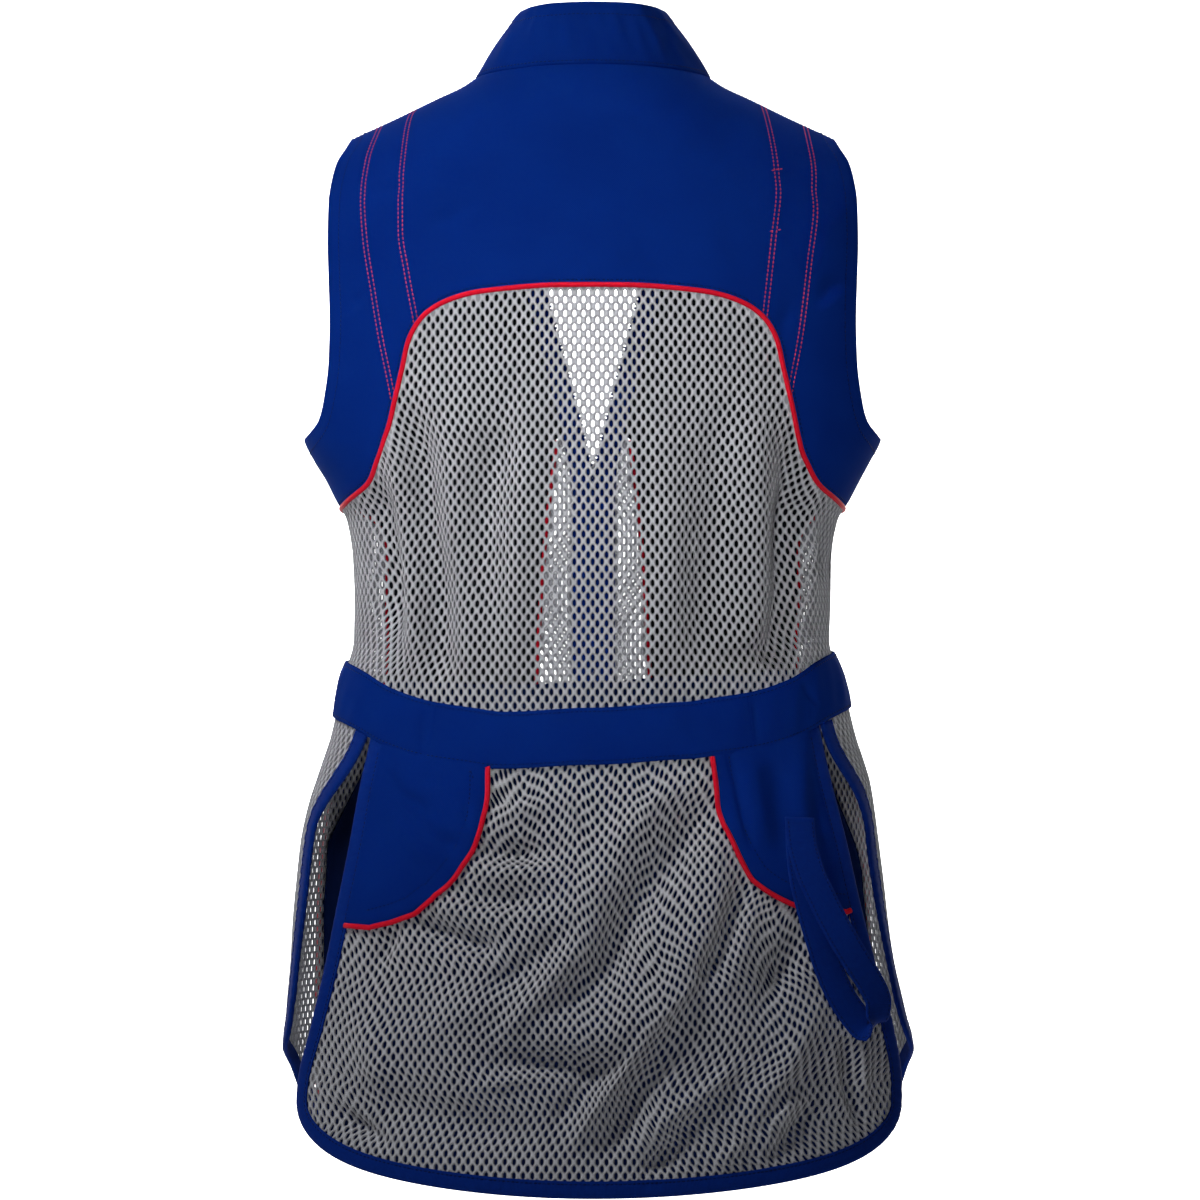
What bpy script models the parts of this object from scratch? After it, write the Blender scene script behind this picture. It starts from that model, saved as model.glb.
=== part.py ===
"""Shooting vest with a knitted mesh back, as solids in metres.

+Z is up, the vest's back faces +Y and the wearer's left is +X. The origin is the middle of the
neck at the height of the shoulder seams, where the wearer holds the vest up.
"""
import math

import bmesh
import bpy
import numpy as np

# Driving sizes
MM = 0.001
WALL = 1.2 * MM
SEAM = 0.3 * MM
LIFT = 0.75 * MM
PIPING_RADIUS = 1.75 * MM
PIPING_SEAT = PIPING_RADIUS + SEAM
BINDING_WIDTH = 10 * MM
BINDING_WALL = 0.8 * MM
BINDING_GAP = 0.7 * MM
PIPING_END = 1.0 * MM
BAND_HALF = 18.2 * MM
NECK_HALF = 78 * MM
UNDERARM_Z = -0.2412
SIDE_SEAM_Z = -0.288
ZIP_OPEN_Z = -0.2576
PLACKET = (4.0 * MM, 15.0 * MM)
ZIP_TAPE = (0.6 * MM, 12.0 * MM)
TAPE_DEPTH = 2.2 * MM
SQUARENESS = 2.3
CREST_BACK = 70 * MM
CREST_FRONT = 90 * MM
SIDE = math.pi / 2
SEAM_ANGLE = 0.0012

# Sections of the body: height, left half, right half, depth behind, depth in front
BODY = (
    (0.040, 0.2000, 0.2000, 0.072, 0.070),
    (0.000, 0.2000, 0.2000, 0.077, 0.076),
    (-0.060, 0.2000, 0.2000, 0.086, 0.090),
    (-0.140, 0.2000, 0.2000, 0.096, 0.112),
    (-0.200, 0.1990, 0.1990, 0.100, 0.123),
    (-0.2412, 0.1936, 0.1930, 0.101, 0.127),
    (-0.255, 0.1870, 0.1860, 0.101, 0.126),
    (-0.268, 0.1790, 0.1790, 0.101, 0.125),
    (-0.281, 0.1725, 0.1722, 0.100, 0.124),
    (-0.295, 0.1650, 0.1640, 0.100, 0.122),
    (-0.321, 0.1610, 0.1600, 0.098, 0.118),
    (-0.348, 0.1600, 0.1595, 0.095, 0.114),
    (-0.375, 0.1605, 0.1585, 0.092, 0.111),
    (-0.402, 0.1680, 0.1670, 0.089, 0.110),
    (-0.420, 0.1715, 0.1715, 0.088, 0.110),
    (-0.440, 0.1760, 0.1765, 0.089, 0.111),
    (-0.470, 0.1900, 0.1900, 0.093, 0.112),
    (-0.520, 0.2030, 0.2050, 0.103, 0.114),
    (-0.570, 0.2080, 0.2140, 0.113, 0.116),
    (-0.640, 0.2130, 0.2220, 0.121, 0.118),
    (-0.740, 0.2170, 0.2260, 0.126, 0.119),
)
# Sections of the front flaps, below the waist, with the same columns
FLAP = (
    (-0.400, 0.1675, 0.1665, 0.089, 0.110),
    (-0.420, 0.1715, 0.1715, 0.088, 0.110),
    (-0.440, 0.1760, 0.1765, 0.089, 0.111),
    (-0.455, 0.1810, 0.1815, 0.090, 0.112),
    (-0.469, 0.1857, 0.1857, 0.092, 0.113),
    (-0.482, 0.1900, 0.1880, 0.093, 0.113),
    (-0.509, 0.1960, 0.1916, 0.095, 0.114),
    (-0.536, 0.1990, 0.1950, 0.097, 0.114),
    (-0.563, 0.2015, 0.1980, 0.099, 0.115),
    (-0.590, 0.2030, 0.2020, 0.101, 0.116),
    (-0.616, 0.2053, 0.2080, 0.102, 0.117),
    (-0.643, 0.2068, 0.2135, 0.103, 0.118),
    (-0.680, 0.2072, 0.2160, 0.103, 0.118),
    (-0.750, 0.2072, 0.2150, 0.104, 0.119),
)
# The shoulder line and the neck's slope inside it: distance from the middle, height
SHOULDER = (
    (0.000, 0.0340),
    (0.030, 0.0290),
    (0.0567, 0.0156),
    (0.078, 0.0020),
    (0.087, -0.0040),
    (0.104, -0.0120),
    (0.133, -0.0260),
    (0.155, -0.0360),
    (0.170, -0.0430),
    (0.200, -0.0550),
)
# Middle of the waistband: angle from the centre back in degrees, height
WAIST = (
    (0, -0.4370),
    (20, -0.4365),
    (27, -0.4340),
    (38, -0.4300),
    (50, -0.4225),
    (65, -0.4110),
    (75, -0.4070),
    (90, -0.4045),
    (120, -0.4050),
    (150, -0.4090),
    (180, -0.4110),
)
WAIST_TILT = 3.2 * MM
# Seam of the yoke with the mesh: share of the way, distance from the middle, height
YOKE_SEAM = (
    (0.000, 0.0000, -0.1425),
    (0.094, 0.0260, -0.1428),
    (0.187, 0.0520, -0.1445),
    (0.281, 0.0780, -0.1475),
    (0.330, 0.0910, -0.1510),
    (0.381, 0.1040, -0.1570),
    (0.427, 0.1135, -0.1654),
    (0.480, 0.1205, -0.1783),
    (0.552, 0.1250, -0.1980),
    (0.624, 0.1297, -0.2174),
    (0.720, 0.1364, -0.2434),
    (0.780, 0.1420, -0.2580),
    (0.843, 0.1505, -0.2735),
    (0.918, 0.1660, -0.2850),
)
# Armhole edges from the shoulder to the underarm: distance from the middle, height
ARMHOLE_BACK = (
    (0.1614, -0.0400),
    (0.1649, -0.0473),
    (0.1699, -0.0560),
    (0.1733, -0.0700),
    (0.1750, -0.0838),
    (0.1753, -0.1107),
    (0.1745, -0.1372),
    (0.1737, -0.1637),
    (0.1744, -0.1900),
    (0.1779, -0.2162),
    (0.1815, -0.2291),
    (0.1891, -0.2378),
)
ARMHOLE_FRONT = (
    (0.1614, -0.0400),
    (0.1600, -0.0700),
    (0.1520, -0.1100),
    (0.1480, -0.1500),
    (0.1505, -0.1850),
    (0.1610, -0.2120),
    (0.1780, -0.2295),
)
# Open front edge above the closed zip: height, distance from the middle
ZIP_LINE = (
    (-0.280, 0.0000),
    (-0.2576, 0.0012),
    (-0.240, 0.0046),
    (-0.200, 0.0146),
    (-0.130, 0.0330),
    (-0.100, 0.0385),
    (-0.072, 0.0415),
)
FRONT_NECK_Z = -0.072
# Seam of the front patch with the mesh strip by the zip: height, distance from the middle
STRIP_SEAM = (
    (-0.4200, 0.0405),
    (-0.3200, 0.0347),
    (-0.2366, 0.0255),
    (-0.2250, 0.0238),
)
# Seam of the front patch with the side mesh: share, angle in degrees, height
SIDE_PANEL_SEAM = (
    (0.00, 90.0, -0.2880),
    (0.16, 102.0, -0.2885),
    (0.30, 112.0, -0.2920),
    (0.40, 117.0, -0.3000),
    (0.47, 118.3, -0.3100),
    (0.70, 117.2, -0.3480),
    (0.85, 118.3, -0.3750),
    (1.00, 121.5, -0.4000),
)
# Side edges of the back flap: height, left, right
BACK_FLAP_EDGE = (
    (-0.4050, 0.1405, 0.1445),
    (-0.4250, 0.1435, 0.1475),
    (-0.4434, 0.1467, 0.1510),
    (-0.4695, 0.1523, 0.1567),
    (-0.5086, 0.1592, 0.1665),
    (-0.5478, 0.1669, 0.1750),
    (-0.5870, 0.1747, 0.1850),
    (-0.6266, 0.1841, 0.1965),
    (-0.6667, 0.1937, 0.2027),
    (-0.6765, 0.1944, 0.2027),
)
BACK_CORNER_Z = -0.6765
BACK_HEM_Z = -0.7332
# Rear edges of the front flaps, with the same columns
FRONT_FLAP_EDGE = (
    (-0.4050, 0.1409, 0.1449),
    (-0.4250, 0.1462, 0.1502),
    (-0.4434, 0.1525, 0.1557),
    (-0.4585, 0.1605, 0.1640),
    (-0.4700, 0.1685, 0.1715),
    (-0.4820, 0.1770, 0.1775),
    (-0.4975, 0.1850, 0.1820),
    (-0.5170, 0.1880, 0.1840),
    (-0.5560, 0.1925, 0.1905),
    (-0.5950, 0.1975, 0.1985),
    (-0.6340, 0.2010, 0.2060),
)
FRONT_HEM_Z = -0.7565
# Inner edge of the hip patches: share, left distance, left height, right distance, right height
HIP_SEAM = (
    (0.00, 0.0683, -0.4560, 0.0775, -0.4500),
    (0.10, 0.0683, -0.4717, 0.0806, -0.4718),
    (0.24, 0.0708, -0.4911, 0.0841, -0.4912),
    (0.34, 0.0753, -0.5040, 0.0893, -0.5041),
    (0.44, 0.0811, -0.5169, 0.0951, -0.5171),
    (0.55, 0.0901, -0.5299, 0.1035, -0.5300),
    (0.67, 0.1031, -0.5429, 0.1170, -0.5405),
    (0.84, 0.1247, -0.5561, 0.1402, -0.5500),
    (1.00, 0.1450, -0.5622, 0.1655, -0.5526),
)
# Outer edge of the front pockets: height, distance from the middle
POCKET_EDGE = (
    (-0.405, 0.148),
    (-0.440, 0.162),
    (-0.480, 0.177),
    (-0.531, 0.184),
    (-0.610, 0.187),
    (-0.668, 0.188),
)
POCKET_CORNER_Z = -0.668
POCKET_FOOT_Z = -0.738
POCKET_FULLNESS = 5 * MM
# Folds of the back: from x, from height, to x, to height, half width, depth (troughs below zero)
BACK_FOLDS = (
    (0.1175, -0.237, 0.1058, -0.322, 0.009, -0.0060),
    (0.1058, -0.322, 0.0960, -0.400, 0.009, -0.0050),
    (0.1377, -0.296, 0.1200, -0.390, 0.008, -0.0040),
    (0.0570, -0.185, 0.0733, -0.322, 0.016, -0.0025),
    (-0.1354, -0.250, -0.1289, -0.322, 0.011, -0.0065),
    (-0.1289, -0.322, -0.1120, -0.400, 0.011, -0.0065),
    (-0.0632, -0.217, -0.0697, -0.374, 0.016, -0.0025),
    (-0.0645, -0.492, -0.0371, -0.529, 0.009, -0.0055),
    (-0.0371, -0.529, -0.0125, -0.578, 0.010, -0.0055),
    (-0.0125, -0.578, 0.0212, -0.602, 0.009, -0.0040),
    (-0.0695, -0.500, -0.0533, -0.555, 0.013, 0.0040),
    (-0.0533, -0.555, -0.0047, -0.620, 0.013, 0.0040),
    (-0.0727, -0.607, -0.0047, -0.690, 0.009, -0.0035),
    (-0.0986, -0.646, -0.0436, -0.678, 0.009, 0.0030),
    (0.0264, -0.486, 0.0560, -0.501, 0.009, -0.0045),
    (0.0245, -0.559, 0.0795, -0.601, 0.010, -0.0035),
    (0.0731, -0.643, -0.0176, -0.636, 0.010, -0.0030),
)
FRONT_FOLDS = (
    (0.060, -0.470, 0.085, -0.640, 0.016, -0.0040),
    (0.120, -0.500, 0.138, -0.650, 0.015, -0.0035),
    (-0.070, -0.470, -0.095, -0.650, 0.016, -0.0040),
    (-0.124, -0.480, -0.138, -0.640, 0.015, -0.0035),
    (0.110, -0.270, 0.070, -0.390, 0.014, -0.0035),
    (-0.110, -0.270, -0.075, -0.390, 0.014, -0.0035),
)
# Towel loop: x, height, stand-off from the flap, turn of its width in degrees
TOWEL_LOOP = (
    (-0.1341, -0.4912, 0.0034, 0),
    (-0.1344, -0.5093, 0.0040, 2),
    (-0.1358, -0.5288, 0.0050, 8),
    (-0.1399, -0.5494, 0.0056, 18),
    (-0.1453, -0.5699, 0.0062, 24),
    (-0.1502, -0.5867, 0.0066, 28),
    (-0.1567, -0.6036, 0.0076, 34),
    (-0.1645, -0.6181, 0.0096, 38),
    (-0.1715, -0.6280, 0.0140, 38),
    (-0.1743, -0.6239, 0.0190, 36),
    (-0.1747, -0.6127, 0.0205, 35),
    (-0.1702, -0.5998, 0.0200, 35),
    (-0.1620, -0.5842, 0.0185, 34),
    (-0.1529, -0.5654, 0.0160, 30),
    (-0.1445, -0.5455, 0.0130, 22),
    (-0.1371, -0.5244, 0.0100, 12),
    (-0.1336, -0.5061, 0.0078, 4),
    (-0.1329, -0.4917, 0.0064, 0),
)
LOOP_WIDTH = 21 * MM
LOOP_WALL = 1.8 * MM
# Collar: share from the centre back, its top edge's reach across, back and up from the seam
COLLAR_REACH = (
    (0.00, 0.0000, -0.0135, 0.0414),
    (0.20, -0.0060, -0.0125, 0.0415),
    (0.38, -0.0200, -0.0070, 0.0420),
    (0.50, -0.0290, -0.0010, 0.0425),
    (0.62, -0.0270, 0.0030, 0.0430),
    (0.80, -0.0120, 0.0060, 0.0450),
    (1.00, 0.0030, 0.0060, 0.0460),
)
COLLAR_WALL = 2.2 * MM
COLLAR_GAP = 1.7 * MM

CLOTH_BLUE = (0.003, 0.020, 0.165)
MESH_GREY = (0.300, 0.300, 0.320)
PIPING_RED = (0.600, 0.006, 0.020)
METAL_GREY = (0.420, 0.430, 0.450)


def curve(rows, column):
    """A smooth curve through a table, read against its first column, with no overshoot."""
    table = np.array(rows, float)
    table = table[np.argsort(table[:, 0])]
    at, value = table[:, 0], table[:, column]
    step = np.diff(at)
    slope = np.diff(value) / step
    tangent = np.zeros(len(at))
    tangent[0] = slope[0]
    tangent[-1] = slope[-1]
    for i in range(1, len(at) - 1):
        if slope[i - 1] * slope[i] > 0:
            before = 2 * step[i] + step[i - 1]
            after = step[i] + 2 * step[i - 1]
            tangent[i] = (before + after) / (before / slope[i - 1] + after / slope[i])

    def read(x):
        x = np.clip(x, at[0], at[-1])
        i = np.clip(np.searchsorted(at, x) - 1, 0, len(at) - 2)
        t = (x - at[i]) / step[i]
        start = (2 * t**3 - 3 * t**2 + 1) * value[i] + (t**3 - 2 * t**2 + t) * step[i] * tangent[i]
        end = (3 * t**2 - 2 * t**3) * value[i + 1] + (t**3 - t**2) * step[i] * tangent[i + 1]
        return start + end

    return read


def sections(rows):
    return [curve(rows, column) for column in (1, 2, 3, 4)]


body_sections = sections(BODY)
flap_sections = sections(FLAP)
shoulder_height = curve(SHOULDER, 1)
waist_height = curve(WAIST, 1)
zip_line = curve(ZIP_LINE, 1)
strip_seam = curve(STRIP_SEAM, 1)
pocket_edge = curve(POCKET_EDGE, 1)


# The waistband's tilt grows over this share of the half width; folds fade near the band
TILT_SPAN = 0.35
FOLD_FREE = 1.1 * BAND_HALF
FOLD_FADE = 1.6 * BAND_HALF
MEAN_RADIUS = 0.2
MIDDLE = np.array([0, 0, -0.35])


def smooth_step(value):
    t = np.clip(value, 0, 1)
    return t * t * (3 - 2 * t)


def waist(angle):
    """Height of the middle of the waistband at an angle round the body."""
    off_centre = smooth_step(np.abs(np.sin(angle)) / TILT_SPAN)
    return waist_height(np.degrees(np.abs(angle))) - WAIST_TILT * np.sign(angle) * off_centre


def relief(x, z, folds):
    """Height of the folds over the plain sheet."""
    total = np.zeros(np.shape(x))
    for x0, z0, x1, z1, half_width, depth in folds:
        run = np.array([x1 - x0, z1 - z0])
        along = np.clip(((x - x0) * run[0] + (z - z0) * run[1]) / (run @ run), 0, 1)
        off = np.hypot(x - x0 - along * run[0], z - z0 - along * run[1])
        total = total + depth * np.exp(-(off / half_width) ** 2)
    return total


def section_point(angle, z, parts):
    """A point of the plain sheet at an angle (0 at the centre back) and a height."""
    left, right, behind, before = parts
    sine = np.sin(angle)
    cosine = np.cos(angle)
    half = np.where(sine > 0, left(z), right(z))
    depth = np.where(cosine > 0, behind(z), before(z))
    x = half * sine
    y = np.sign(cosine) * depth * np.maximum(1 - np.abs(sine) ** SQUARENESS, 0) ** (1 / SQUARENESS)
    crest = np.where(cosine > 0, CREST_BACK, CREST_FRONT)
    fall = np.clip((shoulder_height(np.abs(x)) - z) / crest, 0, 1)
    return np.stack([x, y * np.sqrt(1 - (1 - fall) ** 2), z + 0 * x], -1)


def frame_at(angle, z, place, reach=0.5 * MM):
    """Point, outward normal and the two slopes of a sheet."""
    turn = reach / MEAN_RADIUS
    point = place(angle, z)
    across = (place(angle + turn, z) - place(angle - turn, z)) / (2 * turn)
    down = (point - place(angle, z - reach)) / reach
    normal = np.cross(across, down)
    normal /= np.linalg.norm(normal, axis=-1, keepdims=True)
    outward = np.sum(normal * (point - MIDDLE), -1, keepdims=True)
    return point, normal * np.where(outward < 0, -1, 1), across, down


def plain_body(angle, z):
    return section_point(angle, z, body_sections)


def plain_flap(angle, z):
    return section_point(angle, z, flap_sections)


def folded(plain):
    def place(angle, z):
        point, normal, _, _ = frame_at(angle, z, plain)
        behind = np.cos(angle) > 0
        x, height = point[..., 0], point[..., 2]
        rise = np.where(behind, relief(x, height, BACK_FOLDS), relief(x, height, FRONT_FOLDS))
        clear = smooth_step((np.abs(z - waist(angle)) - FOLD_FREE) / FOLD_FADE)
        return point + normal * (rise * clear)[..., None]
    return place


body = folded(plain_body)
flap = folded(plain_flap)


def angle_at(x, z, side, front=False, parts=body_sections):
    """Angle round the body of a distance from the middle on one side."""
    half = parts[0](z) if side > 0 else parts[1](z)
    lean = np.arcsin(np.clip(x / half, -1, 1))
    return side * (math.pi - lean if front else lean)


def smooth_path(rows, count=120):
    """A fine smooth path through a table's points, spread by their distance apart."""
    rows = np.array(rows, float)
    gap = np.linalg.norm(np.diff(rows, axis=0), axis=1)
    share = np.concatenate([[0], np.cumsum(gap)]) / gap.sum()
    table = np.column_stack([share, rows])
    at = np.linspace(0, 1, count)
    return np.stack([curve(table, i + 1)(at) for i in range(rows.shape[1])], -1)


def chain(*stretches):
    """One path from stretches that share their ends."""
    first, *others = stretches
    return np.concatenate([first] + [stretch[1:] for stretch in others])


def beside(path, distance, place):
    """A path moved sideways over the sheet."""
    point, normal, across, down = frame_at(path[:, 0], path[:, 1], place)
    tangent = np.gradient(point, axis=0)
    tangent /= np.linalg.norm(tangent, axis=1, keepdims=True)
    move = np.cross(normal, tangent) * distance
    moved = []
    for a, d, m in zip(across, down, move):
        moved.append(np.linalg.lstsq(np.stack([a, d], 1), m, rcond=None)[0])
    return path + np.array(moved)


def patch(top, bottom, left, right, fade=1):
    """A net of points between four edges; a higher fade keeps the top edge's shape near it."""
    columns, rows = len(top), len(left)
    s = np.linspace(0, 1, columns)[None, :, None]
    t = 1 - (1 - np.linspace(0, 1, rows)[:, None, None]) ** fade
    between_rows = (1 - t) * top[None] + t * bottom[None]
    between_columns = (1 - s) * left[:, None] + s * right[:, None]
    corners = ((1 - s) * (1 - t) * top[0] + s * (1 - t) * top[-1]
               + (1 - s) * t * bottom[0] + s * t * bottom[-1])
    return between_rows + between_columns - corners


def ruled(first, last, shares):
    """A net of straight lines from one edge to another, with points at the given shares."""
    return first[None] + (last - first)[None] * np.asarray(shares)[:, None, None]


def hem_curve(x_end, z_end, z_low, sag, power, roundness, x_start=0.0, count=160):
    """A hem from the middle outward, with a rounded corner up to the side edge."""
    r = np.sin(np.linspace(0, math.pi / 2, count))
    corner = 1 - (1 - r**power) ** (1 / roundness)
    rise = sag * r**2 + (1 - sag) * corner
    return np.stack([x_start + (x_end - x_start) * r, z_low + (z_end - z_low) * rise], -1)


def clear_scene():
    for item in list(bpy.data.objects):
        bpy.data.objects.remove(item)


def material(name, colour, roughness, metallic=0.0):
    made = bpy.data.materials.new(name)
    made.use_nodes = True
    shader = made.node_tree.nodes["Principled BSDF"]
    shader.inputs["Base Color"].default_value = (*colour, 1)
    shader.inputs["Roughness"].default_value = roughness
    shader.inputs["Metallic"].default_value = metallic
    return made


def add_object(name, data, cloth, collection):
    data.materials.append(cloth)
    made = bpy.data.objects.new(name, data)
    collection.objects.link(made)
    return made


def net_mesh(name, points, normals=None):
    """A grid laid on a net of points."""
    rows, columns = points.shape[0] - 1, points.shape[1] - 1
    net = bmesh.new()
    bmesh.ops.create_grid(net, x_segments=columns, y_segments=rows, size=0.5)
    for vertex in net.verts:
        column = round((vertex.co.x + 0.5) * columns)
        row = round((vertex.co.y + 0.5) * rows)
        vertex.co = points[row, column]
    if normals is not None:
        face = max(net.faces, key=lambda item: item.calc_area())
        face.normal_update()
        middle = np.array(face.calc_center_median())
        nearest = np.argmin(np.linalg.norm(points.reshape(-1, 3) - middle, axis=1))
        if np.dot(face.normal, normals.reshape(-1, 3)[nearest]) < 0:
            bmesh.ops.reverse_faces(net, faces=net.faces[:])
    data = bpy.data.meshes.new(name)
    net.to_mesh(data)
    net.free()
    return data


def thicken(made, wall, offset):
    solid = made.modifiers.new("Wall", "SOLIDIFY")
    solid.thickness = wall
    solid.offset = offset
    return made


class Maker:
    """Adds the vest's pieces to one collection."""

    def __init__(self, collection, cloths):
        self.collection = collection
        self.cloths = cloths

    def sheet(self, name, net, place, cloth, low=-WALL, high=0.0, bulge=None):
        """A cloth wall over a net of angles and heights."""
        point, normal, _, _ = frame_at(net[..., 0], net[..., 1], place)
        lift = high if bulge is None else high + bulge
        outer = point + normal * np.broadcast_to(lift, net.shape[:2])[..., None]
        made = add_object(name, net_mesh(name, outer, normal), self.cloths[cloth], self.collection)
        return thicken(made, high - low, -1)

    def cord(self, name, path, place, stand_off, cloth="piping"):
        """A piping tube along a path of angles and heights."""
        point, normal, _, _ = frame_at(path[:, 0], path[:, 1], place)
        route = point + normal * stand_off
        data = bpy.data.curves.new(name, "CURVE")
        data.dimensions = "3D"
        data.bevel_depth = PIPING_RADIUS
        data.bevel_resolution = 1
        data.use_fill_caps = True
        line = data.splines.new("POLY")
        line.points.add(len(route) - 1)
        for item, position in zip(line.points, route):
            item.co = (*position, 1)
        return add_object(name, data, self.cloths[cloth], self.collection)

    def binding(self, name, path, place, side=1, cloth="cotton"):
        """A folded strip round an edge, from a path with the sheet on its left."""
        inner = beside(path, side * BINDING_WIDTH, place)
        inner[:, 1] = np.minimum(inner[:, 1], waist(inner[:, 0]) - BAND_HALF - SEAM)
        edge_point, edge_normal, _, _ = frame_at(path[:, 0], path[:, 1], place)
        inner_point, inner_normal, _, _ = frame_at(inner[:, 0], inner[:, 1], place)
        outward = edge_point - inner_point
        outward /= np.linalg.norm(outward, axis=1, keepdims=True)
        top = BINDING_GAP
        over = BINDING_GAP + BINDING_WALL
        under = -WALL - BINDING_GAP
        below = under - BINDING_WALL
        tip = edge_point + outward * over
        near = edge_point + outward * BINDING_GAP
        rings = np.stack([
            inner_point + inner_normal * top,
            inner_point + inner_normal * over,
            tip + edge_normal * over,
            tip + edge_normal * below,
            inner_point + inner_normal * below,
            inner_point + inner_normal * under,
            near + edge_normal * under,
            near + edge_normal * top,
        ], 1)
        return self.loft(name, rings, cloth, caps=((0, 1, 2, 7), (7, 2, 3, 6), (6, 3, 4, 5)))

    def loft(self, name, rings, cloth, caps):
        """A closed body through rings of equal counts."""
        net = bmesh.new()
        rows = [[net.verts.new(point) for point in ring] for ring in rings]
        count = len(rows[0])
        for first, second in zip(rows, rows[1:]):
            for i in range(count):
                j = (i + 1) % count
                net.faces.new((first[i], first[j], second[j], second[i]))
        for cap in caps:
            net.faces.new([rows[0][i] for i in reversed(cap)])
            net.faces.new([rows[-1][i] for i in cap])
        bmesh.ops.recalc_face_normals(net, faces=net.faces[:])
        data = bpy.data.meshes.new(name)
        net.to_mesh(data)
        net.free()
        return add_object(name, data, self.cloths[cloth], self.collection)


def resample(path, shares, place):
    """A path's points again, at the given shares of its length over the sheet."""
    point = place(path[:, 0], path[:, 1])
    length = np.concatenate([[0], np.cumsum(np.linalg.norm(np.diff(point, axis=0), axis=1))])
    at = np.asarray(shares) * length[-1]
    return np.stack([np.interp(at, length, path[:, 0]), np.interp(at, length, path[:, 1])], -1)


def steps(count):
    return np.linspace(0, 1, count + 1)


def on_side(path, side, front=False, parts=body_sections):
    """Distances and heights turned into angles and heights."""
    angles = angle_at(path[:, 0], path[:, 1], side, front, parts)
    return np.column_stack([angles, path[:, 1]])


def both_sides(build):
    """One path from the wearer's right to the left, from a half that starts at the middle."""
    return chain(build(-1)[::-1], build(1))


def below_band(path):
    """The part of a path, given from the top, that the waistband leaves free."""
    free = waist(path[:, 0]) - BAND_HALF - SEAM
    first = int(np.argmax(path[:, 1] < free))
    above, under = path[first - 1], path[first]
    share = (above[1] - free[first]) / (above[1] - under[1])
    well_below = path[path[:, 1] < free - BINDING_WIDTH / 2]
    return np.concatenate([[above + share * (under - above)], well_below])


def waist_path(angles, step):
    return np.column_stack([angles, waist(angles) + step])


YOKE_SHARES = np.concatenate([
    np.linspace(0, 0.25, 7),
    np.linspace(0.25, 0.48, 6)[1:],
    np.linspace(0.48, 1, 12)[1:],
])
# How far behind and before the shoulder's crest the two halves stop
CREST_STEP = {False: 2e-6, True: 7e-6}
COLUMN_COUNTS = (6, 5, 11)
YOKE_ROW_SHARES = steps(6) ** 1.6
NECK_SEAM_Z = 0.0056
NECK_SEAM_FALL = 0.0036
TO_WAIST_SHARES = (0, 0.15, 0.30, 0.45, 0.58, 0.69, 0.78, 0.86, 0.93, 1)


def neck_seam_height(x):
    return NECK_SEAM_Z - NECK_SEAM_FALL * (x / NECK_HALF) ** 2


def shoulder_path(side, front, count):
    """The shoulder seam from the neck to the armhole."""
    x = np.linspace(NECK_HALF, ARMHOLE_BACK[0][0], count + 1)
    path = np.column_stack([x, shoulder_height(x) - CREST_STEP[front]])
    return on_side(path, side, front)


def armhole_path(rows, side, front, shares):
    """An armhole edge from the shoulder to the side seam."""
    tip_x = rows[0][0]
    half = body_sections[0 if side > 0 else 1](UNDERARM_Z)
    points = [(tip_x, shoulder_height(tip_x) - CREST_STEP[front]), *rows[1:], (half, UNDERARM_Z)]
    path = on_side(smooth_path(points), side, front)
    path[-1, 0] = side * (SIDE + (SEAM_ANGLE if front else -SEAM_ANGLE))
    return resample(path, shares, plain_body)


def yoke_outline(side):
    """Half of the yoke's outer edge: neck, shoulder, armhole."""
    neck_x = np.linspace(0, NECK_HALF, COLUMN_COUNTS[0] + 1)
    neck = np.column_stack([neck_x, neck_seam_height(neck_x) - CREST_STEP[False]])
    return chain(
        on_side(neck, side),
        shoulder_path(side, False, COLUMN_COUNTS[1]),
        armhole_path(ARMHOLE_BACK, side, False, steps(COLUMN_COUNTS[2])),
    )


def yoke_seam(side):
    """Half of the seam between the yoke and the mesh."""
    rows = [(share, angle_at(x, z, 1), z) for share, x, z in YOKE_SEAM]
    rows.append((1.0, SIDE - SEAM_ANGLE, SIDE_SEAM_Z))
    return np.column_stack([side * curve(rows, 1)(YOKE_SHARES), curve(rows, 2)(YOKE_SHARES)])


def hold_ends(path, side_limit):
    held = path.copy()
    held[0, 0] = -side_limit
    held[-1, 0] = side_limit
    return held


def make_upper_back(maker):
    seam = both_sides(yoke_seam)
    outline = both_sides(yoke_outline)
    limit = SIDE - SEAM_ANGLE
    yoke_edge = hold_ends(beside(seam, -PIPING_SEAT, body), limit)
    mesh_edge = hold_ends(beside(seam, PIPING_SEAT, body), limit)
    maker.sheet("back_yoke", ruled(outline, yoke_edge, YOKE_ROW_SHARES), body, "cotton")
    maker.cord("yoke_piping", seam, body, -WALL / 6)
    angles = np.concatenate([-YOKE_SHARES[:0:-1], YOKE_SHARES]) * limit
    foot = waist_path(angles, SEAM / 2)
    maker.sheet("back_mesh", ruled(mesh_edge, foot, TO_WAIST_SHARES), body, "mesh")


TOP_ROUNDS = 12
# Back hem: how much of its rise is sag, and how square its corners are
HEM_SAG = 0.4
HEM_POWER = 8
HEM_ROUNDNESS = 2.4


def flap_side(rows, side, end_z, parts):
    """A flap's free edge from the waist down."""
    edge = curve(rows, 1 if side > 0 else 2)
    top = rows[0][0]
    for _ in range(TOP_ROUNDS):
        top = float(waist(angle_at(edge(top), top, side, parts=parts))) - SEAM / 2
    z = np.linspace(top, end_z, 80)
    return on_side(np.column_stack([edge(z), z]), side, parts=parts)


def back_flap_edge(side):
    return flap_side(BACK_FLAP_EDGE, side, BACK_CORNER_Z, body_sections)


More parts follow.
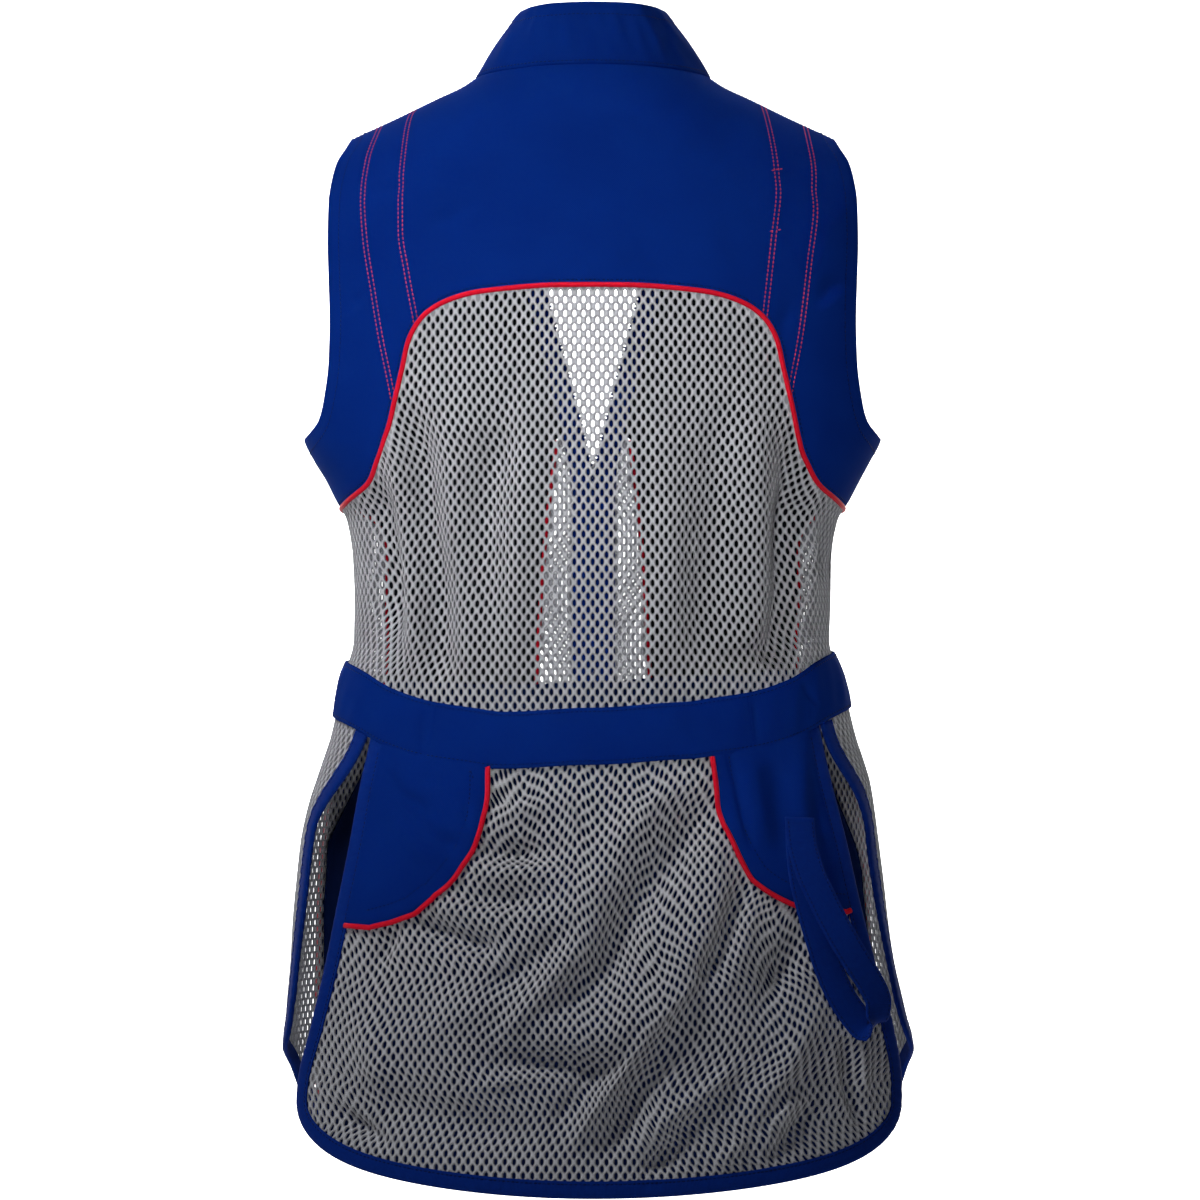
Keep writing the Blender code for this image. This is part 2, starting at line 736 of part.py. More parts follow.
def back_hem(side):
    end = curve(BACK_FLAP_EDGE, 1 if side > 0 else 2)(BACK_CORNER_Z)
    hem = hem_curve(float(end), BACK_CORNER_Z, BACK_HEM_Z, HEM_SAG, HEM_POWER, HEM_ROUNDNESS)
    return on_side(hem, side)


BACK_FLAP_NET = (28, 16)


def make_back_flap(maker):
    columns, rows = BACK_FLAP_NET
    right = resample(back_flap_edge(-1), steps(rows), body)
    left = resample(back_flap_edge(1), steps(rows), body)
    hem = resample(both_sides(back_hem), steps(columns), body)
    top = waist_path(np.linspace(right[0, 0], left[0, 0], columns + 1), -SEAM / 2)
    maker.sheet("back_flap", patch(top, hem, right, left), body, "mesh")
    edge = chain(below_band(left), hem[::-1], below_band(right)[::-1])
    maker.binding("back_flap_binding", edge, body)


def hip_seam(side):
    """The inner edge of a hip patch, from the waistband to the flap's binding."""
    columns = (1, 2) if side > 0 else (3, 4)
    share = steps(18)
    path = np.column_stack([curve(HIP_SEAM, column)(share) for column in columns])
    path = on_side(path, side)
    path[0, 1] = waist(path[0, 0]) - BAND_HALF - PIPING_END
    return path


def make_hip_patch(maker, side, name):
    seam = hip_seam(side)
    inset = beside(back_flap_edge(side), side * (BINDING_WIDTH + SEAM), body)
    maker.cord(f"hip_piping_{name}", seam, body, PIPING_RADIUS + LIFT)
    edge = beside(seam, -side * PIPING_SEAT, body)
    edge[0, 1] = waist(edge[0, 0]) - BAND_HALF - SEAM
    foot_z = edge[-1, 1]
    outer = below_band(inset)
    outer = outer[outer[:, 1] > foot_z]
    foot_angle = np.interp(-foot_z, -inset[:, 1], inset[:, 0])
    outer = np.concatenate([outer, [[foot_angle, foot_z]]])
    edge[-1] = outer[-1]
    half = len(edge) // 2
    top_angles = np.linspace(edge[0, 0], outer[0, 0], half + 1)
    top = waist_path(top_angles, -BAND_HALF - SEAM)
    net = patch(top, edge[half:], edge[:half + 1], resample(outer, steps(half), body))
    maker.sheet(f"hip_patch_{name}", net, body, "cotton", LIFT, LIFT + WALL)


BAND_JOIN = math.radians(36.5)
BAND_END = math.radians(112)
BAND_WALL = 1.4 * MM
BAND_PARTING = 0.0025
BAND_COLUMNS = 16


def make_waistband(maker):
    across = np.linspace(-1, 1, 4)[:, None] * BAND_HALF
    stretches = (
        ("waistband_back", -BAND_JOIN + BAND_PARTING, BAND_JOIN - BAND_PARTING),
        ("waistband_left", BAND_JOIN, BAND_END),
        ("waistband_right", -BAND_END, -BAND_JOIN),
    )
    for name, start, end in stretches:
        angles = np.linspace(start, end, BAND_COLUMNS + 1)[None, :]
        net = np.stack([angles + 0 * across, waist(angles) - across], -1)
        maker.sheet(name, net, body, "cotton", LIFT, LIFT + BAND_WALL)


def make_towel_loop(maker):
    rows = np.array(TOWEL_LOOP)
    gap = np.linalg.norm(np.diff(rows[:, :3], axis=0), axis=1)
    share = np.concatenate([[0], np.cumsum(gap)]) / gap.sum()
    table = np.column_stack([share, rows])
    at = steps(44)
    x, z, lift, turn = (curve(table, column)(at) for column in (1, 2, 3, 4))
    point, normal, across, down = frame_at(angle_at(-x, z, -1), z, plain_body)
    route = point + normal * lift[:, None]
    tangent = np.gradient(route, axis=0)
    tangent /= np.linalg.norm(tangent, axis=1, keepdims=True)
    level = -across / np.linalg.norm(across, axis=1, keepdims=True)
    upward = down / np.linalg.norm(down, axis=1, keepdims=True)
    turn = np.radians(turn)[:, None]
    width = np.cos(turn) * level + np.sin(turn) * upward
    width -= np.sum(width * tangent, 1, keepdims=True) * tangent
    width /= np.linalg.norm(width, axis=1, keepdims=True)
    facing = np.cross(tangent, width)
    half_w, half_t = width * LOOP_WIDTH / 2, facing * LOOP_WALL / 2
    rings = np.stack([route + half_w + half_t, route + half_w - half_t,
                      route - half_w - half_t, route - half_w + half_t], 1)
    maker.loft("towel_loop", rings, "cotton", caps=((0, 1, 2, 3),))


def front_neck(degrees):
    """The front neck seam: 90 degrees at the shoulder, 0 at the open zip."""
    turn = np.radians(degrees)
    inner = float(zip_line(FRONT_NECK_Z))
    x = inner + (NECK_HALF - inner) * np.sin(turn)
    rise = shoulder_height(NECK_HALF) - CREST_STEP[True] - FRONT_NECK_Z
    z = FRONT_NECK_Z + rise * (1 - np.cos(turn))
    return np.column_stack([x, z])


def neck_cut(offset):
    """Where the neck seam crosses a line beside the open zip, in degrees."""
    degrees = np.linspace(0, 90, 400)
    path = front_neck(degrees)
    return float(degrees[np.argmax(path[:, 0] > zip_line(path[:, 1]) + offset)])


STRIP_TOP_Z = -0.2365
OPENING_FOOT_Z = -0.2315
OPENING_SHARES = (0, 0.38, 0.60, 0.74, 0.84, 0.90, 0.95, 1)
ARMHOLE_SHARES = (0, 0.14, 0.28, 0.42, 0.56, 0.68, 0.77, 0.84, 0.90, 0.95, 1)
TOP_FADE = 5
REAR_SHARES = np.array([0, 0.20, 0.40, 0.58, 0.70, 0.78, 0.86, 0.93, 1])
LOWER_SHARES = np.array([0, 0.1, 0.2, 0.28, 0.34, 0.40, 0.46, 0.52, 0.60, 0.70, 0.80, 0.88, 0.94, 1])
SIDE_CORNER = 5


def strip_seam_path(side):
    """The seam of the front patch with the mesh strip, down to the waist."""
    end = float(waist(math.radians(165)))
    z = np.linspace(STRIP_TOP_Z, end + SEAM / 2, len(LOWER_SHARES))
    return on_side(np.column_stack([strip_seam(z), z]), side, True)


def side_panel_seam(side):
    """The seam of the front patch with the side mesh, from the side seam to the waist."""
    angle = np.radians(curve(SIDE_PANEL_SEAM, 1)(LOWER_SHARES))
    z = curve(SIDE_PANEL_SEAM, 2)(LOWER_SHARES)
    path = np.column_stack([side * angle, z])
    path[0, 0] = side * (SIDE + SEAM_ANGLE)
    path[-1, 1] = waist(path[-1, 0]) + SEAM / 2
    return path


def end_at_waist(path):
    held = path.copy()
    held[-1, 1] = waist(path[-1, 0]) + SEAM / 2
    return held


def opening_heights(cut):
    """Heights down the open zip, from where the neck seam crosses, in degrees."""
    top = float(front_neck(np.array([cut]))[0, 1])
    return top + (OPENING_FOOT_Z - top) * np.array(OPENING_SHARES)


def make_front_upper(maker, side, name):
    placket_edge = PLACKET[1] + SEAM
    cut = neck_cut(placket_edge)
    neck = on_side(front_neck(np.linspace(90, cut, 4)), side, True)
    opening_z = opening_heights(cut)[1:]
    opening = on_side(np.column_stack([zip_line(opening_z) + placket_edge, opening_z]), side, True)
    seam = strip_seam_path(side)
    patch_strip_edge = end_at_waist(beside(seam, side * PIPING_SEAT, body))
    inner = np.concatenate([neck, opening, patch_strip_edge])
    side_seam = side_panel_seam(side)
    patch_side_edge = end_at_waist(beside(side_seam, -side * PIPING_SEAT, body))
    patch_side_edge[0, 0] = side * (SIDE + SEAM_ANGLE)
    mesh_side_edge = end_at_waist(beside(side_seam, side * PIPING_SEAT, body))
    mesh_side_edge[0, 0] = side * (SIDE + SEAM_ANGLE)
    armhole = armhole_path(ARMHOLE_FRONT, side, True, ARMHOLE_SHARES)
    outer = np.concatenate([armhole, patch_side_edge])
    columns = 7
    top = shoulder_path(side, True, columns)
    foot_angles = np.linspace(inner[-1, 0], outer[-1, 0], columns + 1)
    net = patch(top, waist_path(foot_angles, SEAM / 2), inner, outer, fade=TOP_FADE)
    maker.sheet(f"front_patch_{name}", net, body, "cotton")
    for label, route in (("strip", seam), ("side", side_seam)):
        tube = end_at_waist(route.copy())
        tube[-1, 1] += PIPING_END
        maker.cord(f"{label}_piping_{name}", tube, body, -WALL / 6)
    strip_outer = end_at_waist(beside(seam, -side * PIPING_SEAT, body))
    strip_z = strip_outer[:, 1]
    strip_inner = np.column_stack([zip_line(strip_z) + placket_edge, strip_z])
    strip_inner = end_at_waist(on_side(strip_inner, side, True))
    maker.sheet(f"front_strip_{name}", ruled(strip_inner, strip_outer, steps(2)), body, "mesh")
    corner = SIDE_CORNER
    foot_z = float(waist(SIDE * side)) + SEAM / 2
    rear_z = mesh_side_edge[0, 1] + (foot_z - mesh_side_edge[0, 1]) * REAR_SHARES
    rear = np.column_stack([np.full(len(rear_z), side * (SIDE + SEAM_ANGLE)), rear_z])
    foot = waist_path(np.linspace(rear[-1, 0], mesh_side_edge[-1, 0], corner + 1), SEAM / 2)
    net = patch(mesh_side_edge[:corner + 1], foot, rear, mesh_side_edge[corner:])
    maker.sheet(f"side_mesh_{name}", net, body, "mesh")


def front_sheet(angle, z):
    """The front from collar to hem: the body above the waist, the flap below it."""
    above = (z > waist(angle))[..., None]
    return np.where(above, body(angle, z), flap(angle, z))


def make_front_edge(maker, side, name):
    """The strip beside the zip, and the zip tape behind it."""
    cut = neck_cut(PLACKET[1] + SEAM)
    waist_z = float(waist(math.pi))
    shared = np.concatenate([
        opening_heights(cut)[:-1],
        np.linspace(STRIP_TOP_Z, waist_z, len(LOWER_SHARES)),
        np.linspace(waist_z, FRONT_HEM_Z - MM, 6)[1:],
    ])
    for piece, (near, far), cloth, low, high in (
            ("placket", PLACKET, "cotton", -WALL, 0.0),
            ("zip_tape", ZIP_TAPE, "zip", -TAPE_DEPTH - WALL, -TAPE_DEPTH)):
        edges = []
        for offset in (near, far):
            z = shared.copy()
            z[0] = float(front_neck(np.array([neck_cut(offset + SEAM)]))[0, 1])
            edges.append(on_side(np.column_stack([zip_line(z) + offset, z]), side, True))
        maker.sheet(f"{piece}_{name}", ruled(edges[0], edges[1], steps(1)), front_sheet, cloth, low, high)


# Lower edge of a front flap: angle in degrees, height
FRONT_HEM = (
    (77.0, -0.6130),
    (77.8, -0.6260),
    (80.5, -0.6380),
    (85.5, -0.6465),
    (92.0, -0.6530),
    (99.0, -0.6615),
    (106, -0.6800),
    (113, -0.7040),
    (122, -0.7260),
    (140, -0.7475),
    (160, -0.7555),
    (176, -0.7565),
)
FRONT_FLAP_NET = (21, 11)


def front_flap_edges(side):
    """Top, hem, zip edge and rear edge of a front flap."""
    columns, rows = FRONT_FLAP_NET
    rear = flap_side(FRONT_FLAP_EDGE, side, FRONT_HEM[0][1], flap_sections)
    rear = resample(rear, steps(rows), flap)
    inner_x = PLACKET[1] + SEAM
    end = float(angle_at(inner_x, FRONT_HEM_Z, side, True, flap_sections))
    degrees = np.linspace(math.degrees(abs(rear[-1, 0])), math.degrees(abs(end)), 160)
    hem = np.column_stack([side * np.radians(degrees), curve(FRONT_HEM, 1)(degrees)])
    hem[0] = rear[-1]
    hem = resample(hem[::-1], steps(columns), flap)
    start = float(waist(end)) - SEAM / 2
    z = np.linspace(start, hem[0, 1], rows + 1)
    inner = on_side(np.column_stack([np.full(rows + 1, inner_x), z]), side, True, flap_sections)
    top = waist_path(np.linspace(inner[0, 0], rear[0, 0], columns + 1), -SEAM / 2)
    return top, hem, inner, rear


def make_front_flap(maker, side, name):
    top, hem, inner, rear = front_flap_edges(side)
    maker.sheet(f"front_flap_{name}", patch(top, hem, inner, rear), flap, "mesh")
    edge = chain(hem, below_band(rear)[::-1])
    maker.binding(f"front_flap_binding_{name}", edge, flap, side=side)


POCKET_SAG = 0.1
POCKET_POWER = 5
POCKET_ROUNDNESS = 2
POCKET_TOP_ANGLE = math.radians(119)
POCKET_STEPS = 9
POCKET_SAMPLES = 60


def make_pocket(maker, side, name):
    z = np.linspace(float(waist(POCKET_TOP_ANGLE * side)) - SEAM - MM, POCKET_CORNER_Z, POCKET_SAMPLES)
    outer = on_side(np.column_stack([pocket_edge(z), z]), side, True, flap_sections)
    inner_x = PLACKET[1] + 2 * MM
    foot = hem_curve(float(pocket_edge(POCKET_CORNER_Z)), POCKET_CORNER_Z, POCKET_FOOT_Z,
                     POCKET_SAG, POCKET_POWER, POCKET_ROUNDNESS, x_start=inner_x)
    foot = on_side(foot, side, True, flap_sections)
    even_steps = steps(POCKET_STEPS)
    seam = chain(resample(outer, even_steps, flap), resample(foot[::-1], even_steps, flap))
    maker.cord(f"pocket_piping_{name}", seam, flap, PIPING_RADIUS + LIFT)
    edge = beside(seam, -side * PIPING_SEAT, flap)
    edge[0, 1] = seam[0, 1]
    rear, low = edge[:POCKET_STEPS + 1], edge[POCKET_STEPS:][::-1]
    inner_z = np.linspace(float(waist(low[0, 0])) - SEAM - MM, low[0, 1], len(low))
    inner = np.column_stack([np.full(len(low), inner_x), inner_z])
    inner = on_side(inner, side, True, flap_sections)
    low[0] = inner[-1]
    top = waist_path(np.linspace(inner[0, 0], rear[0, 0], len(low)), -SEAM - MM)
    net = patch(top, low, inner, rear)
    arch = np.sin(even_steps * math.pi)
    swell = np.outer(arch, arch) * POCKET_FULLNESS
    maker.sheet(f"front_pocket_{name}", net, flap, "cotton", LIFT, LIFT + WALL, bulge=swell)


def neck_ring(side, share):
    """The neck seam on one side: the back half, then the front half to the zip."""
    back_x = NECK_HALF * np.clip(share * 2, 0, 1)
    back_part = on_side(np.column_stack([back_x, neck_seam_height(back_x) - CREST_STEP[False]]), side)
    front_part = on_side(front_neck(90 * np.clip(2 - share * 2, 0, 1)), side, True)
    return np.where((share <= 0.5)[:, None], back_part, front_part)


# Along the neck seam from the centre back to just short of the zip, and up the collar
COLLAR_SHARES = np.concatenate([np.linspace(0, 0.5, 10), np.linspace(0.5, 0.98, 10)[1:]])
COLLAR_LEVELS = (0.36, 0.70, 1.0)


def make_collar(maker):
    """The standing collar, leaning in from the neck seam."""
    share = COLLAR_SHARES
    halves = []
    for side in (-1, 1):
        path = neck_ring(side, share)
        base = plain_body(path[:, 0], path[:, 1])
        reach = np.column_stack([curve(COLLAR_REACH, column)(share) for column in (1, 2, 3)])
        reach[:, 0] *= side
        height = np.linalg.norm(reach, axis=1, keepdims=True)
        levels = [COLLAR_GAP / height, *COLLAR_LEVELS]
        halves.append(np.stack([base + reach * level for level in levels]))
    net = np.concatenate([halves[0][:, ::-1], halves[1][:, 1:]], 1)
    made = add_object("collar", net_mesh("collar", net), maker.cloths["cotton"], maker.collection)
    thicken(made, COLLAR_WALL, 0)


# Zip slider and its tab: width, depth and height of each box, and where the hinge sits
SLIDER_SIZE = (7 * MM, 3 * MM, 10 * MM)
SLIDER_STEP = 0.1 * MM
HINGE_OUT = 1.9 * MM
HINGE_UP = 1.5 * MM
TAB_LENGTH = 26 * MM
TAB_WALL = 1.2 * MM
KNUCKLE_RADIUS = 1.1 * MM
EAR = (1.0 * MM, 2.9 * MM, 3.2 * MM)
EAR_OFFSET = 2.9 * MM
EAR_ROOT = 0.2 * MM
KNUCKLE_SIDES = 12


def box_mesh(name, boxes):
    """One body from boxes, given as middle and size, joined where they meet."""
    net = bmesh.new()
    for middle, size in boxes:
        made = bmesh.ops.create_cube(net, size=1)
        for vertex in made["verts"]:
            vertex.co = [m + c * s for m, c, s in zip(middle, vertex.co, size)]
    data = bpy.data.meshes.new(name)
    net.to_mesh(data)
    net.free()
    return data


def join_solids(main, others):
    """A Boolean union of overlapping solids into one."""
    for other in others:
        union = main.modifiers.new("Join", "BOOLEAN")
        union.operation = "UNION"
        union.object = other
        other.display_type = "WIRE"
        other.hide_render = True


def make_zip_pull(maker, helpers):
    """The slider where the zip stands open, and the tab that swings on it."""
    point = front_sheet(np.array([math.pi]), np.array([ZIP_OPEN_Z]))[0]
    slider_middle = (0, point[1] - SLIDER_STEP, ZIP_OPEN_Z)
    slider = add_object("zip_slider", box_mesh("zip_slider", [(slider_middle, SLIDER_SIZE)]),
                        maker.cloths["metal"], maker.collection)
    front_y = slider_middle[1] - SLIDER_SIZE[1] / 2
    axis = (0, front_y - HINGE_OUT, ZIP_OPEN_Z + HINGE_UP)
    ears = []
    for side in (-1, 1):
        middle = (side * EAR_OFFSET, front_y - EAR[1] / 2 + EAR_ROOT, axis[2])
        ears.append(add_object(f"ear_{side}", box_mesh("ear", [(middle, EAR)]),
                               maker.cloths["metal"], helpers))
    join_solids(slider, ears)
    knuckle_width = 2 * (EAR_OFFSET - EAR[0] / 2 - SEAM)
    net = bmesh.new()
    made = bmesh.ops.create_cone(net, cap_ends=True, segments=KNUCKLE_SIDES, radius1=KNUCKLE_RADIUS,
                                 radius2=KNUCKLE_RADIUS, depth=knuckle_width)
    for vertex in made["verts"]:
        vertex.co = (vertex.co.z, vertex.co.y, vertex.co.x)
    bmesh.ops.recalc_face_normals(net, faces=net.faces[:])
    data = bpy.data.meshes.new("pull_tab")
    net.to_mesh(data)
    net.free()
    tab = add_object("pull_tab", data, maker.cloths["metal"], maker.collection)
    plate_middle = (0, 0, -TAB_LENGTH / 2)
    plate_size = (knuckle_width, TAB_WALL, TAB_LENGTH)
    plate = add_object("tab_plate", box_mesh("tab_plate", [(plate_middle, plate_size)]),
                       maker.cloths["metal"], helpers)
    plate.location = axis
    tab.location = axis
    join_solids(tab, [plate])


def main():
    clear_scene()
    collection = bpy.data.collections.new("shooting_vest")
    helpers = bpy.data.collections.new("cutters")
    bpy.context.scene.collection.children.link(collection)
    bpy.context.scene.collection.children.link(helpers)
    cloths = {
        "cotton": material("cotton_blue", CLOTH_BLUE, 0.85),
        "mesh": material("mesh_grey", MESH_GREY, 0.9),
        "piping": material("piping_red", PIPING_RED, 0.6),
        "zip": material("zip_tape_blue", CLOTH_BLUE, 0.8),
        "metal": material("zip_metal", METAL_GREY, 0.35, 1.0),
    }
    maker = Maker(collection, cloths)
    make_collar(maker)
    make_upper_back(maker)
    make_back_flap(maker)
    make_waistband(maker)
    make_towel_loop(maker)
    for side, name in ((1, "left"), (-1, "right")):
        make_hip_patch(maker, side, name)
        make_front_upper(maker, side, name)
        make_front_edge(maker, side, name)
        make_front_flap(maker, side, name)
        make_pocket(maker, side, name)
    make_zip_pull(maker, helpers)


main()
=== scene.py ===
# %% [markdown]
# # A shooting vest with a knitted mesh back
# The vest is cotton drill and knitted mesh, sewn from flat pieces, and it stands here in the form of
# a wearer who isn't there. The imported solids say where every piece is. Each cell below makes one
# piece or one finish again, finer, as a thin shell on the same surface.

# %% Load the fixed frame
import math

import bpy
import numpy as np
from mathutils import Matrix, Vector


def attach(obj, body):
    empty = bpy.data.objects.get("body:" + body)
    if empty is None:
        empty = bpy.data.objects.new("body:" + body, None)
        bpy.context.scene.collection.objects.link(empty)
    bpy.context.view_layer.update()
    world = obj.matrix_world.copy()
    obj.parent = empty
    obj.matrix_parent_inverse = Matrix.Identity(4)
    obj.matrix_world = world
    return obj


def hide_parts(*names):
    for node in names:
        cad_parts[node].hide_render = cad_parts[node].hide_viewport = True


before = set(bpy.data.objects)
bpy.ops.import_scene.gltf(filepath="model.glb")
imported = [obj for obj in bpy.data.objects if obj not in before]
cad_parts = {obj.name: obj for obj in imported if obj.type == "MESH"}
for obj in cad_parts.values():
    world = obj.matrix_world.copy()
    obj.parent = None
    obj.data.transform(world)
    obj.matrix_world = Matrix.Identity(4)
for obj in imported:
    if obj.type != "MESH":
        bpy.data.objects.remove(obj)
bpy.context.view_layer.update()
MM = 0.001

# %% [markdown]
# ## Small tools for materials
# A material is a tree of nodes. Each node's inputs are either joined to other nodes or set to a value,
# and one helper does both.

# %% Nodes of a material
def set_inputs(tree, node, values):
    """Joins a node's inputs to other nodes, or sets them, by name or number."""
    for key, value in values.items():
        if isinstance(value, bpy.types.NodeSocket):
            tree.links.new(value, node.inputs[key])
        else:
            node.inputs[key].default_value = value


def add_node(tree, kind, values=None, **settings):
    made = tree.nodes.new("ShaderNode" + kind)
    for key, value in settings.items():
        setattr(made, key, value)
    set_inputs(tree, made, values or {})
    return made


# %% [markdown]
# ## The place where it is looked at
# The vest is seen from behind, square on, from a little over three metres, so the lens is long.
# White paper sweeps down a wall and out over the floor in one curve, which gives a plain ground with
# no corner. A soft lamp high on one side lights the cloth, and a small one beside the lens throws a
# narrow beam on the upper back. The wall glows, and all the paper is plain white to the camera.

# %% Camera, floor and light
CAMERA_PLACE = (-0.0047, 3.2, -0.348)
CAMERA_LENS, CAMERA_SENSOR = 143, 36
FLOOR_Z = -1.40
PAPER_HALF = 7.0
PAPER_FRONT_Y = 6.0
PAPER_TOP = 4.0
WALL_Y = -4.6
SWEEP = 1.3
SWEEP_POINTS = 16
GLOW_FROM_Y, GLOW_FULL_Y = -1.6, -3.0
WALL_GLOW = 1.9
ROOM_LIGHT = 0.056
# Lamps: name, place, target, size in metres, power in watts, spread of the beam in degrees
LAMPS = (
    ("key", (0.3, 2.9, 0.5), (0.04, 0.06, -0.22), 0.3, 0.62, 16),
    ("side", (1.2, 1.0, 1.5), (0.0, 0.0, -0.2), 0.5, 39, 180),
)


def link_object(name, data):
    made = bpy.data.objects.new(name, data)
    bpy.context.collection.objects.link(made)
    return made


def make_camera():
    lens = bpy.data.cameras.new("camera")
    lens.lens = CAMERA_LENS
    lens.sensor_width = CAMERA_SENSOR
    camera = link_object("camera", lens)
    camera.location = CAMERA_PLACE
    camera.rotation_euler = (math.pi / 2, 0, math.pi)
    bpy.context.scene.camera = camera


def plain_mesh(name, points, faces):
    data = bpy.data.meshes.new(name)
    data.from_pydata([tuple(point) for point in points], [], [tuple(face) for face in faces])
    data.validate()
    data.polygons.foreach_set("use_smooth", [True] * len(data.polygons))
    return link_object(name, data)


def make_paper():
    turn = np.linspace(0, math.pi / 2, SWEEP_POINTS)
    y = np.concatenate([[PAPER_FRONT_Y], WALL_Y + SWEEP - SWEEP * np.sin(turn), [WALL_Y]])
    z = np.concatenate([[FLOOR_Z], FLOOR_Z + SWEEP - SWEEP * np.cos(turn), [PAPER_TOP]])
    points = [(x, y[i], z[i]) for i in range(len(y)) for x in (-PAPER_HALF, PAPER_HALF)]
    faces = [(2 * i, 2 * i + 1, 2 * i + 3, 2 * i + 2) for i in range(len(y) - 1)]
    return plain_mesh("floor_paper", points, faces)


def make_lamp(name, place, target, size, power, spread):
    """A square lamp; a spread under 180 degrees narrows its beam, like a grid in front of it."""
    lamp = bpy.data.lights.new(name, "AREA")
    lamp.spread = math.radians(spread)
    lamp.size = size
    lamp.energy = power
    made = link_object(name, lamp)
    made.location = place
    made.rotation_euler = (Vector(target) - Vector(place)).to_track_quat("-Z", "Y").to_euler()


def make_paper_finish():
    """White paper with a faint grain. Its wall glows, as paper lit from behind does."""
    made = bpy.data.materials.new("paper_white")
    made.use_nodes = True
    tree = made.node_tree
    place = add_node(tree, "TexCoord").outputs["Object"]
    grain = add_node(tree, "TexNoise", {"Vector": place, "Scale": 40.0}).outputs["Fac"]
    tone = add_node(tree, "MapRange", {"Value": grain, "To Min": 0.90, "To Max": 0.94})
    depth = add_node(tree, "SeparateXYZ", {0: place}).outputs["Y"]
    glow = add_node(tree, "MapRange", {"Value": depth, "From Min": GLOW_FROM_Y,
                                       "From Max": GLOW_FULL_Y, "To Max": WALL_GLOW})
    # The floor is as white as the wall to look at, but casts no light of its own
    seen = add_node(tree, "LightPath").outputs["Is Camera Ray"]
    light = add_node(tree, "Math", {0: seen, 1: glow.outputs[0]}, operation="MAXIMUM")
    set_inputs(tree, tree.nodes["Principled BSDF"],
               {"Roughness": 0.9, "Base Color": tone.outputs[0], "Emission Color": (1, 1, 1, 1),
                "Emission Strength": light.outputs[0]})
    return made


def make_world():
    """Plain white all round to look at, with little light in it."""
    world = bpy.data.worlds.new("studio")
    world.use_nodes = True
    tree = world.node_tree
    seen = add_node(tree, "LightPath").outputs["Is Camera Ray"]
    strength = add_node(tree, "MapRange", {"Value": seen, "To Min": ROOM_LIGHT}).outputs[0]
    set_inputs(tree, tree.nodes["Background"], {"Color": (1, 1, 1, 1), "Strength": strength})
    bpy.context.scene.world = world


make_camera()
paper = make_paper()
paper.data.materials.append(make_paper_finish())
for lamp in LAMPS:
    make_lamp(*lamp)
make_world()
bpy.context.scene.view_settings.view_transform = "Standard"
print("camera at", CAMERA_PLACE, "floor at", FLOOR_Z)

# %% [markdown]
# ## Finishes
# Cloth is read by its weave, so each finish has its own: drill has a fine slanting twill, the mesh is
# knitted in small chevrons, the bindings are ribbed across. The patterns follow the uncut cloth, laid
# flat and measured in metres, which every piece carries as its UV map.

# %% Building blocks for the finishes
# At scale 1 the bands of a wave texture repeat over this length
WAVE_REPEAT = 0.314


def new_finish(name, roughness, sheen=0.0, metallic=0.0, specular=0.04):
    made = bpy.data.materials.new(name)
    made.use_nodes = True
    shader = made.node_tree.nodes["Principled BSDF"]
    set_inputs(made.node_tree, shader,
               {"Roughness": roughness, "Metallic": metallic, "Specular IOR Level": specular,
                "Sheen Weight": sheen, "Sheen Roughness": 0.5})
    return made, made.node_tree, shader


def noise(tree, place, scale, detail=2.0):
    return add_node(tree, "TexNoise", {"Vector": place, "Scale": scale, "Detail": detail}).outputs["Fac"]


def maths(tree, operation, *values):
    return add_node(tree, "Math", dict(enumerate(values)), operation=operation).outputs[0]


def mottled(tree, place, dark, light, scale):
    """A colour that drifts between two shades."""
    return add_node(tree, "Mix", {0: noise(tree, place, scale, 3.0), 6: (*dark, 1), 7: (*light, 1)},
                    data_type="RGBA").outputs[2]


def shade(tree, colour, amount, value):
    """The colour made darker where the value is low, by up to the amount."""
    level = add_node(tree, "MapRange", {"Value": value, "To Min": 1 - amount, "To Max": 1.0})
    return add_node(tree, "VectorMath", {0: colour, "Scale": level.outputs[0]},
                    operation="SCALE").outputs[0]


def cover(tree, shader, colour, height, strength, distance):
    """Gives a finish its colour, and bumps as high as the distance."""
    bump = add_node(tree, "Bump", {"Height": height, "Strength": strength, "Distance": distance})
    set_inputs(tree, shader, {"Base Color": colour, "Normal": bump.outputs[0]})


# %% Cotton drill
TWILL_PITCH = 0.9 * MM
DIAGONAL = 1.414
LINT_TINT = (0.02, 0.2, 1.0, 1)


def make_drill(name, dark, light, drift=24.0):
    """Cotton in a slanting twill, with lint; the drift is the scale of its change of shade."""
    made, tree, shader = new_finish(name, roughness=0.85, sheen=0.05, specular=0.015)
    shader.inputs["Sheen Tint"].default_value = LINT_TINT
    place = add_node(tree, "TexCoord").outputs["UV"]
    twill = add_node(tree, "TexWave", {"Vector": place, "Scale": 2 * WAVE_REPEAT / (TWILL_PITCH * DIAGONAL),
                                       "Distortion": 1.2, "Detail": 1.0, "Detail Scale": 0.6},
                     wave_type="BANDS", bands_direction="DIAGONAL").outputs["Fac"]
    lint = noise(tree, place, scale=900.0)
    colour = shade(tree, mottled(tree, place, dark, light, drift), amount=0.22, value=twill)
    colour = shade(tree, colour, amount=0.18, value=lint)
    cover(tree, shader, colour, maths(tree, "ADD", twill, lint), strength=0.35, distance=0.12 * MM)
    return made


